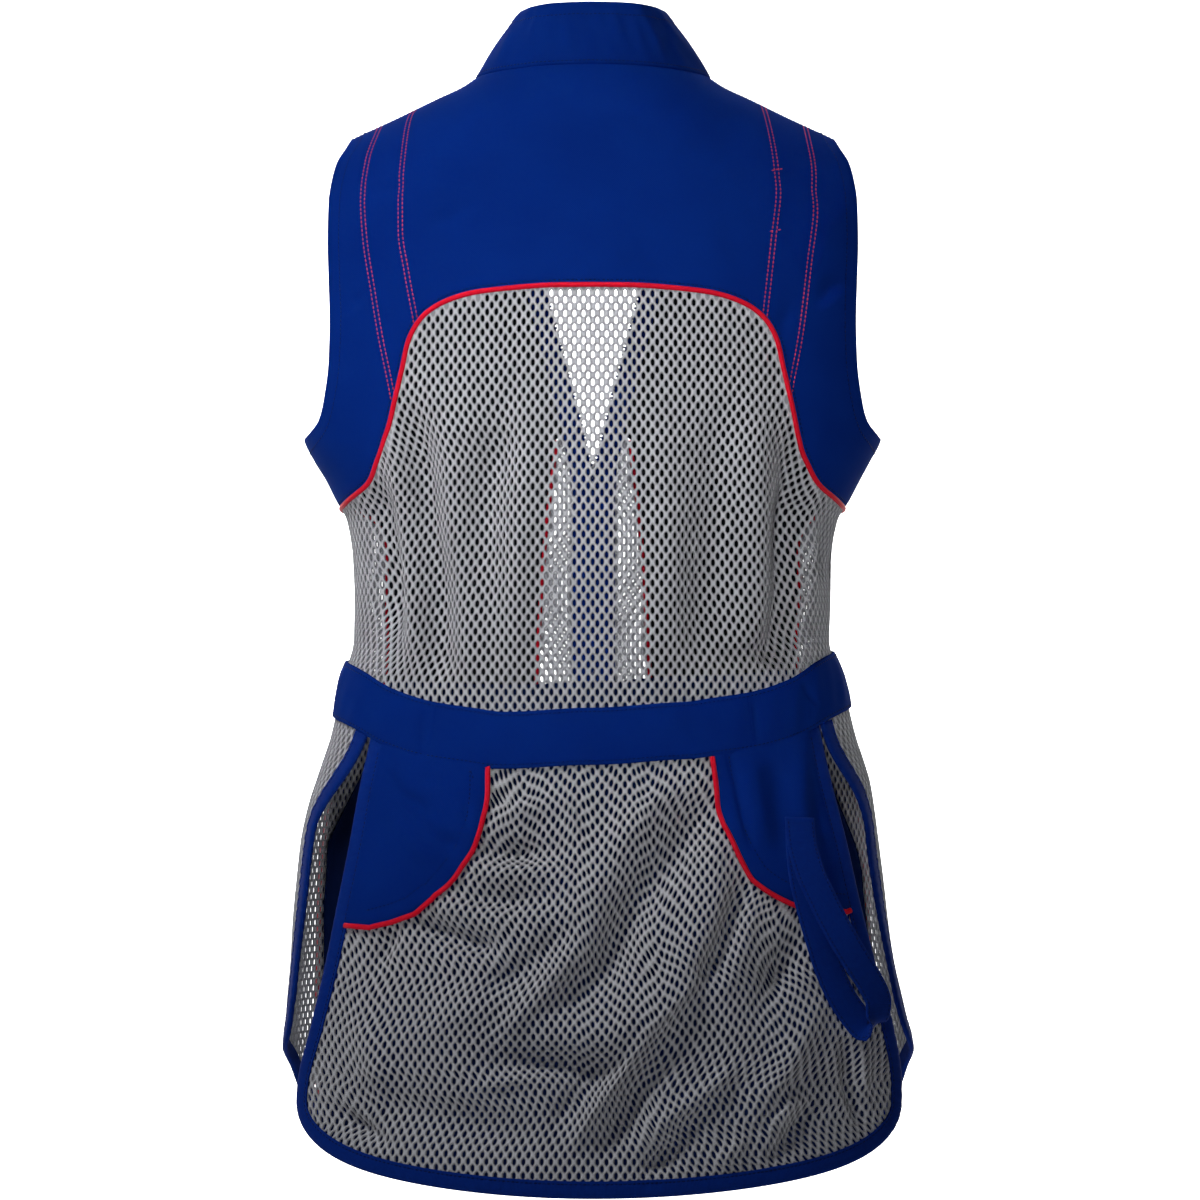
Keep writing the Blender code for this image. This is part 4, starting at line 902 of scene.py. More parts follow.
def panel(name, net, place, plain, centre, cloth=drill, low=-WALL, high=0.0, bulge=0.0, creases=(),
          strip=False, inside=None, deepest=math.inf):
    """A cotton panel over a net of angles and heights; its creases go no lower than the deepest."""
    point, normal = on_cloth(net, place)
    rise = np.maximum(bulge + relief(point[..., 0], point[..., 2], creases), -deepest)
    outer = point + normal * (high + rise)[..., None]
    flat = laid_flat(net, plain, centre)
    note_cut(name, flat, strip)
    outer_faces[name] = outer, normal
    return shell(name, outer, normal, high - low, flat, cloth, inside)


# %% [markdown]
# ## What every piece says about itself
# A piece rides on the vest and stands for its solid, which it hides. A sheet also keeps the width,
# length and area it was cut to.


def dress(made, node=None, rides="vest"):
    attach(made, rides)
    if node:
        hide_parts(node)
    return made


def each_side(make):
    """What a maker makes for the wearer's left and right."""
    return {name: make(side, name) for name, side in SIDES.items()}


def flat_cut(made):
    """Width and length of a piece on the uncut cloth, in metres."""
    return [round(value, 3) for value in cut_sizes[made.name][:2]]


# %% [markdown]
# ## Punched mesh
# The real mesh is knitted with staggered oval holes, six millimetres apart. A texture with holes in
# its transparency would look alike from far away, but real openings let the light through and keep
# their depth from the side. Geometry Nodes lay six-sided tiles on the flat piece, each with a hole in
# its middle, cut them to the outline, and then carry every point to its place on the wearer.

# %% A small helper for the trees
class Tree:
    """Builds a geometry node tree with named inputs."""

    def __init__(self, name, inputs):
        self.group = bpy.data.node_groups.new(name, "GeometryNodeTree")
        face = self.group.interface
        face.new_socket("Cloth", in_out="INPUT", socket_type="NodeSocketGeometry")
        for label, kind in inputs:
            face.new_socket(label, in_out="INPUT", socket_type="NodeSocket" + kind)
        face.new_socket("Made", in_out="OUTPUT", socket_type="NodeSocketGeometry")
        self.given = self.group.nodes.new("NodeGroupInput").outputs
        self.result = self.group.nodes.new("NodeGroupOutput")

    def add(self, kind, *values, **settings):
        """A node with its inputs given in order; None leaves one as it is."""
        made = self.group.nodes.new("GeometryNode" + kind if "Node" not in kind else kind)
        for key, value in settings.items():
            setattr(made, key, value)
        for socket, value in zip(made.inputs, values):
            if isinstance(value, bpy.types.NodeSocket):
                self.group.links.new(value, socket)
            elif value is not None:
                socket.default_value = value
        return made.outputs

    def sum(self, operation, *values):
        return self.add("ShaderNodeMath", *values, operation=operation)[0]

    def vector(self, operation, *values):
        return self.add("ShaderNodeVectorMath", *values, operation=operation)[0]

    def joined(self, x=0.0, y=0.0, z=0.0):
        return self.add("ShaderNodeCombineXYZ", x, y, z)[0]

    def named(self, name, kind):
        return self.add("InputNamedAttribute", name, data_type=kind)[0]

    def end(self, geometry, finish):
        whole = self.add("RealizeInstances", geometry)[0]
        smooth = self.add("SetShadeSmooth", whole)[0]
        final = self.add("SetMaterial", smooth, None, finish)[0]
        self.group.links.new(final, self.result.inputs[0])
        return self.group


def run_tree(made, group, values, finish, wall=0.0):
    """Runs a tree on an object and keeps the result as a plain mesh, thickened to the wall."""
    modifier = made.modifiers.new("Tree", "NODES")
    modifier.node_group = group
    values = {**values, "Finish": finish}
    for item in group.interface.items_tree:
        if item.in_out == "INPUT" and item.name in values:
            modifier[item.identifier] = values[item.name]
    if wall:
        solid = made.modifiers.new("Wall", "SOLIDIFY")
        solid.thickness = wall
        solid.offset = -1
    made.update_tag()
    seen = made.evaluated_get(bpy.context.evaluated_depsgraph_get())
    data = bpy.data.meshes.new_from_object(seen)
    made.modifiers.clear()
    old, made.data = made.data, data
    bpy.data.meshes.remove(old)
    data.name = made.name


# %% The tree that punches the mesh
HOLE_SIDES = 6
# How far from the cloth a tile's middle may lie, in pitches; then what counts as on it, and as one point
TILE_REACH = 0.42
ON_CLOTH = 0.03 * MM
SAME_TILE_POINT, SAME_EDGE_POINT = 0.05 * MM, 0.15 * MM
# A face's mean of a mark of its points: above the first all have it, below the second none
ALL_MARKED, NONE_MARKED = 0.99, 0.01


def punched_tree():
    tree = Tree("Punched mesh", [("Pitch Across", "Float"), ("Pitch Down", "Float"),
                                 ("Hole Width", "Float"), ("Hole Length", "Float"),
                                 ("Columns", "Int"), ("Rows", "Int"), ("Middle", "Vector"),
                                 ("Border", "Float"), ("Finish", "Material")])
    given = tree.given
    cloth, across, down = given["Cloth"], given["Pitch Across"], given["Pitch Down"]
    half_across, half_down, half_width, half_length = (
        tree.sum("DIVIDE", given[name], 2.0)
        for name in ("Pitch Across", "Pitch Down", "Hole Width", "Hole Length"))
    width = tree.sum("MULTIPLY", tree.sum("SUBTRACT", given["Columns"], 1.0), across)
    height = tree.sum("MULTIPLY", tree.sum("SUBTRACT", given["Rows"], 1.0), half_down)
    grid = tree.add("MeshGrid", width, height, given["Columns"], given["Rows"])[0]
    here = tree.add("InputPosition")[0]
    upward = tree.sum("ADD", tree.add("ShaderNodeSeparateXYZ", here)[1], tree.sum("DIVIDE", height, 2.0))
    odd = tree.sum("MODULO", tree.sum("ROUND", tree.sum("DIVIDE", upward, half_down)), 2.0)
    stagger = tree.vector("ADD", tree.joined(tree.sum("MULTIPLY", odd, half_across)), given["Middle"])
    middles = tree.add("SetPosition", grid, None, None, stagger)[0]
    away = tree.add("Proximity", cloth, target_element="FACES")
    too_far = tree.sum("GREATER_THAN", away[1], tree.sum("MULTIPLY", down, TILE_REACH))
    middles = tree.add("DeleteGeometry", middles, too_far)[0]
    # The tile: a hexagon with a smaller one inset in it, which becomes the hole
    hexagon = tree.add("MeshCircle", HOLE_SIDES, 1.0, fill_type="NGON")[0]
    hexagon = tree.add("Transform", hexagon, None, (0, 0, math.pi / HOLE_SIDES))[0]
    inset = tree.add("ExtrudeMesh", hexagon, None, None, 0.0)
    cell = tree.joined(tree.sum("DIVIDE", across, 3 ** 0.5), tree.sum("DIVIDE", down, 3.0), 1.0)
    hole = tree.joined(half_width, half_length, 1.0)
    tile = tree.add("SetPosition", inset[0], None, tree.vector("MULTIPLY", here, cell))[0]
    tile = tree.add("SetPosition", tile, inset[1],
                    tree.vector("MULTIPLY", here, tree.vector("DIVIDE", hole, cell)))[0]
    tile = tree.add("StoreNamedAttribute", tile, None, "hole", inset[1],
                    data_type="BOOLEAN", domain="FACE")[0]
    tiles = tree.add("InstanceOnPoints", middles, None, tile)[0]
    net = tree.add("RealizeInstances", tiles)[0]
    net = tree.add("MergeByDistance", net, None, SAME_TILE_POINT)[0]
    # What lies outside the outline is cut off, and holes too near the edge are left closed
    faces_on_edge = tree.add("InputMeshEdgeNeighbors")[0]
    border = tree.add("SeparateGeometry", cloth, tree.sum("LESS_THAN", faces_on_edge, 1.5),
                      domain="EDGE")[0]
    to_cloth = tree.add("Proximity", cloth, target_element="FACES")
    to_border = tree.add("Proximity", border, target_element="EDGES")
    outside = tree.sum("GREATER_THAN", to_cloth[1], ON_CLOTH)
    near = tree.sum("MAXIMUM", outside, tree.sum("LESS_THAN", to_border[1], given["Border"]))
    for label, share in (("outside", outside), ("near", near)):
        net = tree.add("StoreNamedAttribute", net, None, label, share,
                       data_type="FLOAT", domain="POINT")[0]
    beyond = tree.sum("GREATER_THAN", tree.named("outside", "FLOAT"), ALL_MARKED)
    open_hole = tree.sum("MULTIPLY", tree.named("hole", "FLOAT"),
                         tree.sum("LESS_THAN", tree.named("near", "FLOAT"), NONE_MARKED))
    net = tree.add("DeleteGeometry", net, tree.sum("MAXIMUM", beyond, open_hole), domain="FACE")[0]
    net = tree.add("SetPosition", net, tree.sum("GREATER_THAN", tree.named("outside", "FLOAT"), 0.5),
                   to_border[0])[0]
    net = tree.add("MergeByDistance", net, None, SAME_EDGE_POINT)[0]
    net = tree.add("StoreNamedAttribute", net, None, "UVMap", here,
                   data_type="FLOAT2", domain="CORNER")[0]
    worn = tree.add("SampleNearestSurface", cloth, tree.named("worn", "FLOAT_VECTOR"), None, here,
                    data_type="FLOAT_VECTOR")[0]
    net = tree.add("SetPosition", net, None, worn)[0]
    return tree.end(net, given["Finish"])


mesh_tree = punched_tree()
print("punched mesh:", len(mesh_tree.nodes), "nodes")


# %% A mesh piece: flat first, then punched, then worn
MESH_WALL = 1.0 * MM
HOLE_BORDER = 0.6 * MM


def between(coarse):
    """Each second row and column again, with the ones between them filled in."""
    for axis in (0, 1):
        full = np.repeat(coarse, 2, axis=axis)
        middle = (full + np.roll(full, -1, axis=axis)) / 2
        coarse = np.take(middle, np.arange(full.shape[axis] - 1), axis=axis)
    return coarse


def punched(name, net, place, plain, centre):
    point, _ = on_cloth(net, place)
    rows, columns = net.shape[:2]
    if rows % 2 and columns % 2:
        flat = between(laid_flat(net[::2, ::2], plain, centre))
    else:
        flat = laid_flat(net, plain, centre)
    note_cut(name, flat)
    number = np.arange(rows * columns).reshape(rows, columns)
    lying = np.concatenate([flat, 0 * flat[..., :1]], -1).reshape(-1, 3)
    made = plain_mesh(name, lying, grid_faces(number))
    give_vectors(made.data, "worn", point)
    pitch = np.array([HOLE_ACROSS, HOLE_DOWN / 2])
    low, high = flat.reshape(-1, 2).min(0), flat.reshape(-1, 2).max(0)
    middle = np.round((low + high) / 2 / (2 * pitch)) * 2 * pitch
    # Both counts keep a hole on the flat place's origin, where the yarn's shading expects it
    count = 4 * np.ceil(np.maximum(high - middle, middle - low) / pitch / 2).astype(int) + 5
    run_tree(made, mesh_tree, {
        "Pitch Across": HOLE_ACROSS, "Pitch Down": HOLE_DOWN,
        "Hole Width": HOLE_SIZE[0], "Hole Length": HOLE_SIZE[1],
        "Columns": int(count[0]), "Rows": int(count[1]),
        "Middle": (float(middle[0]), float(middle[1]), 0.0), "Border": HOLE_BORDER,
    }, yarn, MESH_WALL)
    print(name, "cut", [round(float(v), 3) for v in high - low],
          "faces", len(made.data.polygons))
    return made


# %% [markdown]
# ## The yoke and the mesh back
# The yoke is one piece of drill over the shoulders, with an arm down each side to the side seam. Its
# lower edge is joined to the mesh in a curved seam with red piping in it. Both edges run in under
# the piping, so no gap shows.

# %% Yoke and mesh back
YOKE_FINE = 4
YOKE_ROWS = 64
# The yoke's rows crowd towards the neck and shoulders by this power
YOKE_CROWDING = 1.4
MESH_BACK_ROWS = 70
# Creases of the yoke, in the columns of the folds
YOKE_CREASES = (
    (7, -1.8, ((106, -103), (92, -97), (79, -91))),
    (5, -1.7, ((146, -80), (135, -78), (123, -75))),
    (4, -1.8, ((164, -159), (157, -152), (150, -147))),
    (10, 1.5, ((109, -48), (114, -81), (110, -114))),
    (10, -1.8, ((-85, -43), (-102, -61), (-114, -78))),
    (6, -2, ((-121, -69), (-135, -74), (-160, -83))),
    (6, -1.5, ((-123, -91), (-131, -101), (-140, -105))),
    (8, -1.5, ((-84, -104), (-93, -119), (-97, -133))),
    (5, -1.8, ((-149, -149), (-157, -142), (-165, -139))),
    (5, -1.5, ((-121, -171), (-126, -164), (-130, -155))),
    (24, 2.1, ((31, -71), (-5, -104), (-31, -120))),
)
# Seam of the yoke with the mesh: share of the way, distance from the middle, height
YOKE_SEAM = (
    (0.000, 0.0000, -0.1425),
    (0.094, 0.0260, -0.1428),
    (0.187, 0.0520, -0.1445),
    (0.281, 0.0780, -0.1475),
    (0.330, 0.0910, -0.1510),
    (0.381, 0.1040, -0.1570),
    (0.427, 0.1135, -0.1654),
    (0.480, 0.1205, -0.1783),
    (0.552, 0.1250, -0.1980),
    (0.624, 0.1297, -0.2174),
    (0.720, 0.1364, -0.2434),
    (0.780, 0.1420, -0.2580),
    (0.843, 0.1505, -0.2735),
    (0.918, 0.1660, -0.2850),
)
# Armhole edges from the shoulder to the underarm: distance from the middle, height
ARMHOLE_BACK = (
    (0.1614, -0.0400),
    (0.1649, -0.0473),
    (0.1699, -0.0560),
    (0.1733, -0.0700),
    (0.1750, -0.0838),
    (0.1753, -0.1107),
    (0.1745, -0.1372),
    (0.1737, -0.1637),
    (0.1744, -0.1900),
    (0.1779, -0.2162),
    (0.1815, -0.2291),
    (0.1891, -0.2378),
)
ARMHOLE_FRONT = (
    (0.1614, -0.0400),
    (0.1600, -0.0700),
    (0.1520, -0.1100),
    (0.1480, -0.1500),
    (0.1505, -0.1850),
    (0.1610, -0.2120),
    (0.1780, -0.2295),
)
YOKE_SHARES = fine(np.concatenate([
    np.linspace(0, 0.25, 7),
    np.linspace(0.25, 0.48, 6)[1:],
    np.linspace(0.48, 1, 12)[1:],
]), YOKE_FINE)
COLUMN_COUNTS = (6 * YOKE_FINE, 5 * YOKE_FINE, 11 * YOKE_FINE)
CREST_STEP = {False: 2e-6, True: 7e-6}
NECK_SEAM_Z = 0.0056
NECK_SEAM_FALL = 0.0036
SEAM_HIDE = 0.9 * MM


def neck_seam_height(x):
    return NECK_SEAM_Z - NECK_SEAM_FALL * (x / NECK_HALF) ** 2


def shoulder_path(side, front, count):
    """The shoulder seam from the neck to the armhole."""
    x = np.linspace(NECK_HALF, ARMHOLE_BACK[0][0], count + 1)
    path = path_of(x, shoulder_height(x) - CREST_STEP[front])
    return on_side(path, side, front)


def armhole_path(rows, side, front, shares):
    """An armhole edge from the shoulder to the side seam."""
    tip_x = rows[0][0]
    half = body_sections[0 if side > 0 else 1](UNDERARM_Z)
    points = [(tip_x, shoulder_height(tip_x) - CREST_STEP[front]), *rows[1:], (half, UNDERARM_Z)]
    path = on_side(smooth_path(points), side, front)
    path[-1, 0] = side * (SIDE + (SEAM_ANGLE if front else -SEAM_ANGLE))
    return resample(path, shares, plain_body)


def yoke_outline(side):
    """Half of the yoke's outer edge: neck, shoulder, armhole."""
    neck_x = np.linspace(0, NECK_HALF, COLUMN_COUNTS[0] + 1)
    neck = path_of(neck_x, neck_seam_height(neck_x) - CREST_STEP[False])
    return chain(
        on_side(neck, side),
        shoulder_path(side, False, COLUMN_COUNTS[1]),
        armhole_path(ARMHOLE_BACK, side, False, steps(COLUMN_COUNTS[2])),
    )


def yoke_seam(side):
    """Half of the seam between the yoke and the mesh."""
    rows = [(share, angle_at(x, z, 1), z) for share, x, z in YOKE_SEAM]
    rows.append((1.0, SIDE - SEAM_ANGLE, SIDE_SEAM_Z))
    return path_of(side * curve(rows, 1)(YOKE_SHARES), curve(rows, 2)(YOKE_SHARES))


def make_upper_back():
    seam = both_sides(yoke_seam)
    limit = SIDE - SEAM_ANGLE
    yoke_edge, mesh_edge = (beside(seam, off, body) for off in (-SEAM_HIDE, SEAM_HIDE))
    for edge in (yoke_edge, mesh_edge):
        edge[[0, -1], 0] = -limit, limit
    yoke_net = ruled(both_sides(yoke_outline), yoke_edge, steps(YOKE_ROWS) ** YOKE_CROWDING)
    yoke = panel("yoke", yoke_net, body, plain_body, 0.0, creases=YOKE_CREASES)
    angles = np.concatenate([-YOKE_SHARES[:0:-1], YOKE_SHARES]) * limit
    mesh_net = ruled(mesh_edge, waist_path(angles, SEAM / 2), steps(MESH_BACK_ROWS))
    mesh = punched("mesh_back", mesh_net, body, body, 0.0)
    return seam, yoke, mesh


yoke_line, yoke, mesh_back = make_upper_back()
dress(yoke, "back_yoke")
dress(mesh_back, "back_mesh")
print("yoke", flat_cut(yoke), "mesh back", flat_cut(mesh_back))

# %% [markdown]
# ## Piping
# A piping is a cord in a folded satin strip, caught in the seam. Only the round part shows, so it is
# a tube along the seam, closed at both ends.

# %% Piping tubes
PIPING_SIDES = 12
PIPING_SINK = 0.2 * MM


def tube(name, route, normals, radius, cloth):
    tangent = unit(np.gradient(route, axis=0))
    side = unit(np.cross(tangent, normals))
    up = np.cross(side, tangent)
    turn = np.linspace(0, 2 * math.pi, PIPING_SIDES, endpoint=False)[None, :, None]
    rings = route[:, None] + radius * (np.cos(turn) * side[:, None] + np.sin(turn) * up[:, None])
    return loft(name, rings, cloth)


def loft(name, rings, cloth):
    """A closed body through rings of equal counts, capped at both ends; UV along and round it."""
    count, sides = rings.shape[:2]
    number = np.arange(count * sides).reshape(count, sides)
    beyond = np.roll(number, -1, axis=1)
    faces = np.stack([number[:-1], beyond[:-1], beyond[1:], number[1:]], -1).reshape(-1, 4)
    ends = [list(number[0][::-1]), list(number[-1])]
    centre = rings.mean(1)
    sample = faces[0]
    points = rings.reshape(-1, 3)
    facing = np.cross(points[sample[2]] - points[sample[0]], points[sample[3]] - points[sample[1]])
    faces = [list(face) for face in faces] + ends
    if facing @ (points[sample].mean(0) - centre[:2].mean(0)) < 0:
        faces = [face[::-1] for face in faces]
    made = plain_mesh(name, points, faces)
    along = distances(centre)
    steps_round = np.linalg.norm(rings - np.roll(rings, 1, axis=1), axis=-1).mean(0)
    around = np.cumsum(steps_round)
    flat = np.stack(np.broadcast_arrays(along[:, None], around[None]), -1)
    set_uv(made.data, flat.reshape(-1, 2))
    made.data.materials.append(cloth)
    return made


def piping(name, path, place, stand_off, node):
    route, normal = on_cloth(path, place, stand_off)
    made = tube(name, route, normal, PIPING_RADIUS, piping_satin)
    return dress(made, node)


piping("piping_yoke", yoke_line, body, -PIPING_SINK, "yoke_piping")

# %% [markdown]
# ## The skirt behind
# Below the waist the back is one flap of mesh with rounded corners. Its sides are free, so the front
# flaps show beside it.

# %% Back flap
# Side edges of the back flap: height, left, right
BACK_FLAP_EDGE = (
    (-0.4050, 0.1405, 0.1445),
    (-0.4250, 0.1435, 0.1475),
    (-0.4434, 0.1467, 0.1510),
    (-0.4695, 0.1523, 0.1567),
    (-0.5086, 0.1592, 0.1665),
    (-0.5478, 0.1669, 0.1750),
    (-0.5870, 0.1747, 0.1850),
    (-0.6266, 0.1841, 0.1965),
    (-0.6667, 0.1937, 0.2027),
    (-0.6765, 0.1944, 0.2027),
)
BACK_CORNER_Z = -0.6765
BACK_HEM_Z = -0.7332
TOP_ROUNDS = 12
HEM_SAG = 0.4
HEM_POWER = 8
HEM_ROUNDNESS = 2.4
BACK_FLAP_NET = (150, 100)
FLAP_SIDE_POINTS = 80


def flap_side(rows, side, end_z, parts):
    """A flap's free edge from the waist down."""
    edge = curve(rows, 1 if side > 0 else 2)
    top = rows[0][0]
    for _ in range(TOP_ROUNDS):
        top = float(waist(angle_at(edge(top), top, side, parts=parts))) - SEAM / 2
    z = np.linspace(top, end_z, FLAP_SIDE_POINTS)
    return on_side(path_of(edge(z), z), side, parts=parts)


def back_flap_edge(side):
    return flap_side(BACK_FLAP_EDGE, side, BACK_CORNER_Z, body_sections)


def back_hem(side):
    end = curve(BACK_FLAP_EDGE, 1 if side > 0 else 2)(BACK_CORNER_Z)
    hem = hem_curve(float(end), BACK_CORNER_Z, BACK_HEM_Z, HEM_SAG, HEM_POWER, HEM_ROUNDNESS)
    return on_side(hem, side)


def make_back_flap():
    columns, rows = BACK_FLAP_NET
    right = resample(back_flap_edge(-1), steps(rows), body)
    left = resample(back_flap_edge(1), steps(rows), body)
    hem = resample(both_sides(back_hem), steps(columns), body)
    top = waist_path(np.linspace(right[0, 0], left[0, 0], columns + 1), -SEAM / 2)
    made = punched("flap_back", patch(top, hem, right, left), body, body, 0.0)
    return made, chain(below_band(left), hem[::-1], below_band(right)[::-1])


flap_back, back_edge = make_back_flap()
dress(flap_back, "back_flap")

# %% [markdown]
# ## Bindings
# A strip of drill is folded round the raw edge of the mesh and sewn through. Its section is a narrow
# hook: over the edge, round it, and back underneath. The stitching draws it in a little, so it swells
# and sinks along its length.

# %% A folded binding
# Section of the binding: distance out from the edge, height over the mesh, in millimetres
BINDING_SECTION = (
    (-10.0, 0.15), (-10.15, 0.6), (-9.7, 1.0), (-8.6, 0.95), (-8.0, 0.80), (-7.2, 1.0), (-5.0, 1.25),
    (-2.5, 1.35), (-0.6, 1.25), (0.6, 0.75), (1.2, -0.1), (1.3, -0.7), (1.0, -1.5), (0.2, -2.1),
    (-1.5, -2.35), (-5.0, -2.3), (-8.0, -2.0), (-9.7, -2.1), (-10.1, -1.8), (-10.0, -1.35),
    (-5.0, -1.3), (-0.9, -1.3), (-0.3, -0.6), (-0.9, 0.1), (-5.0, 0.1),
)
PUCKER = 0.16
PUCKER_PITCH = 7.5 * MM
# The puckers' spacing and strength wander over these lengths
PUCKER_WANDER = (0.031, 0.053)
PUCKER_SWING = 1.3
PUCKER_STEADY = 0.6


def binding(name, path, place, node, side=1, step=2.5 * MM):
    length = distances(place(path[:, 0], path[:, 1]))[-1]
    path = resample(path, steps(int(length / step)), place)
    inner = beside(path, side * BINDING_WIDTH, place)
    inner[:, 1] = np.minimum(inner[:, 1], waist(inner[:, 0]) - BAND_HALF - SEAM)
    edge_point, edge_normal = on_cloth(path, place)
    inner_point, inner_normal = on_cloth(inner, place)
    outward = unit(edge_point - inner_point)
    section = np.array(BINDING_SECTION) * MM
    share = np.clip(-section[:, 0] / BINDING_WIDTH, 0, None)[None, :, None]
    beyond = np.clip(section[:, 0], 0, None)[None, :, None]
    along = distances(edge_point)
    pull = np.sin(2 * math.pi * along / PUCKER_PITCH + PUCKER_SWING * np.sin(along / PUCKER_WANDER[0]))
    strength = PUCKER_STEADY + (1 - PUCKER_STEADY) * np.sin(along / PUCKER_WANDER[1])
    swell = (1 + PUCKER * pull * strength)[:, None]
    middle = -WALL / 2
    height = (middle + (section[:, 1][None] - middle) * swell)[..., None]
    surface = edge_point[:, None] * (1 - share) + inner_point[:, None] * share
    normal = unit(edge_normal[:, None] * (1 - share) + inner_normal[:, None] * share)
    rings = surface + outward[:, None] * beyond + normal * height
    made = loft(name, rings, binding_cloth)
    return dress(made, node)


binding("binding_flap_back", back_edge, body, "back_flap_binding")

# %% [markdown]
# ## Hip patches and the waistband
# A quarter-round patch of drill strengthens each upper corner of the skirt, with piping on its curved
# edge. The waistband is laid over the waist seam last: one piece across the back and one round each
# side. Its side pieces end on the fronts.

# %% Hip patches
LIFT = 0.75 * MM
PIPING_SEAT = PIPING_RADIUS + 0.4 * MM
UNDER_BAND = 2 * MM
UNDER_BINDING = 0.5 * MM
# Inner edge of the hip patches: share, left distance, left height, right distance, right height
HIP_SEAM = (
    (0.00, 0.0683, -0.4560, 0.0775, -0.4500),
    (0.10, 0.0683, -0.4717, 0.0806, -0.4718),
    (0.24, 0.0708, -0.4911, 0.0841, -0.4912),
    (0.34, 0.0753, -0.5040, 0.0893, -0.5041),
    (0.44, 0.0811, -0.5169, 0.0951, -0.5171),
    (0.55, 0.0901, -0.5299, 0.1035, -0.5300),
    (0.67, 0.1031, -0.5429, 0.1170, -0.5405),
    (0.84, 0.1247, -0.5561, 0.1402, -0.5500),
    (1.00, 0.1450, -0.5622, 0.1655, -0.5526),
)
HIP_STEPS = 96
PATCH_FULLNESS = 3.6 * MM
# What is sewn on the mesh lies this far over its face
OVER_MESH = 0.2 * MM
# Creases of both patches, in the same columns
HIP_CREASES = (
    (6.5, -4.5, ((138, -461), (126, -477), (117, -484), (103, -487))),
    (6, -4.2, ((118, -487), (106, -500), (97, -507), (86, -508))),
    (6, 2.2, ((127, -492), (114, -509), (104, -522))),
    (3.5, -1.4, ((113, -466), (97, -467))),
    (2.5, -1.7, ((82, -481), (82, -496))),
    (3, -3.1, ((-89, -449), (-93, -466), (-97, -486), (-102, -508))),
    (7, 2.5, ((-102, -454), (-105, -479), (-111, -500))),
    (8, -3.1, ((-117, -453), (-121, -479), (-122, -513))),
    (7, 2.2, ((-134, -446), (-135, -479), (-136, -513))),
    (5, -2, ((-143, -458), (-147, -492), (-154, -526))),
)


def hip_seam(side):
    """The inner edge of a hip patch, from the waistband to the flap's binding."""
    columns = (1, 2) if side > 0 else (3, 4)
    share = steps(HIP_STEPS)
    path = np.column_stack([curve(HIP_SEAM, column)(share) for column in columns])
    path = on_side(path, side)
    path[0, 1] = waist(path[0, 0]) - BAND_HALF - MM
    return path


def patch_bulge(count):
    """The patch is a little fuller than the mesh it is sewn to."""
    arch = np.clip(np.sin(np.linspace(0, math.pi, count)), 0, 1) ** 0.5
    return np.outer(arch, arch) * PATCH_FULLNESS


def make_hip_patch(side, name):
    seam = hip_seam(side)
    inset = beside(back_flap_edge(side), side * (BINDING_WIDTH - UNDER_BINDING), body)
    edge = beside(seam, -side * SEAM_HIDE, body)
    edge[0, 1] = waist(edge[0, 0]) - BAND_HALF + UNDER_BAND
    foot_z = edge[-1, 1]
    outer = below_band(inset)
    outer = outer[outer[:, 1] > foot_z]
    foot_angle = np.interp(-foot_z, -inset[:, 1], inset[:, 0])
    outer = np.concatenate([outer, [[foot_angle, foot_z]]])
    outer[0, 1] = waist(outer[0, 0]) - BAND_HALF + UNDER_BAND
    edge[-1] = outer[-1]
    half = len(edge) // 2
    top_angles = np.linspace(edge[0, 0], outer[0, 0], half + 1)
    top = waist_path(top_angles, UNDER_BAND - BAND_HALF)
    net = patch(top, edge[half:], edge[:half + 1], resample(outer, steps(half), body))
    made = panel(f"patch_hip_{name}", net, body, plain_body, 0.0, low=OVER_MESH, high=LIFT + WALL,
                 bulge=patch_bulge(len(net)), creases=HIP_CREASES, deepest=DEEPEST)
    to_binding = np.concatenate([seam, seam[-1:] + (outer[-1] - seam[-1]) * [[0.5], [1.0]]])
    piping(f"piping_hip_{name}", to_binding, body, PIPING_SEAT, f"hip_piping_{name}")
    return dress(made, f"hip_patch_{name}"), seam


hip_patches = each_side(make_hip_patch)
print("hip patches", [flat_cut(made) for made, _ in hip_patches.values()])

# %% Waistband
# Creases across the band, in the same columns
BAND_CREASES = (
    (2.4, -3.4, ((107, -418), (110, -432), (110, -452))),
    (5, 1, ((115, -421), (117, -434), (116, -449))),
    (5, -0.8, ((155, -409), (148, -424), (144, -439))),
    (8, -0.8, ((53, -424), (48, -446))),
    (10, -0.7, ((-13, -421), (-7, -445))),
    (2, -1.3, ((-137, -404), (-146, -417))),
    (1.7, -1.2, ((-105, -415), (-107, -441))),
    (6, -0.8, ((-63, -419), (-69, -442))),
)
BAND_JOIN = math.radians(36.5)
BAND_END = math.radians(112)
BAND_WALL = 1.4 * MM
BAND_PARTING = 0.0012
# How far its underside lies below the usual lift of what is sewn on
BAND_SINK = 0.2 * MM
# How far its middle stands off, and its waves: height, turns a radian, start, slant; heights in mm
BAND_FULLNESS = 0.9
BAND_WAVES = ((0.35, 23, 1.1, 0), (0.25, 41, 0, 2))
BAND_LINES = 19
BAND_STEPS = 120


def band_bulge(net):
    """The band stands off a little along its middle and is drawn in at its stitched edges."""
    across = (net[..., 1] - waist(net[..., 0])) / BAND_HALF
    waves = sum(height * np.sin(turns * net[..., 0] + start + slant * across)
                for height, turns, start, slant in BAND_WAVES)
    return (BAND_FULLNESS + waves) * MM * np.clip(1 - across**4, 0, 1)


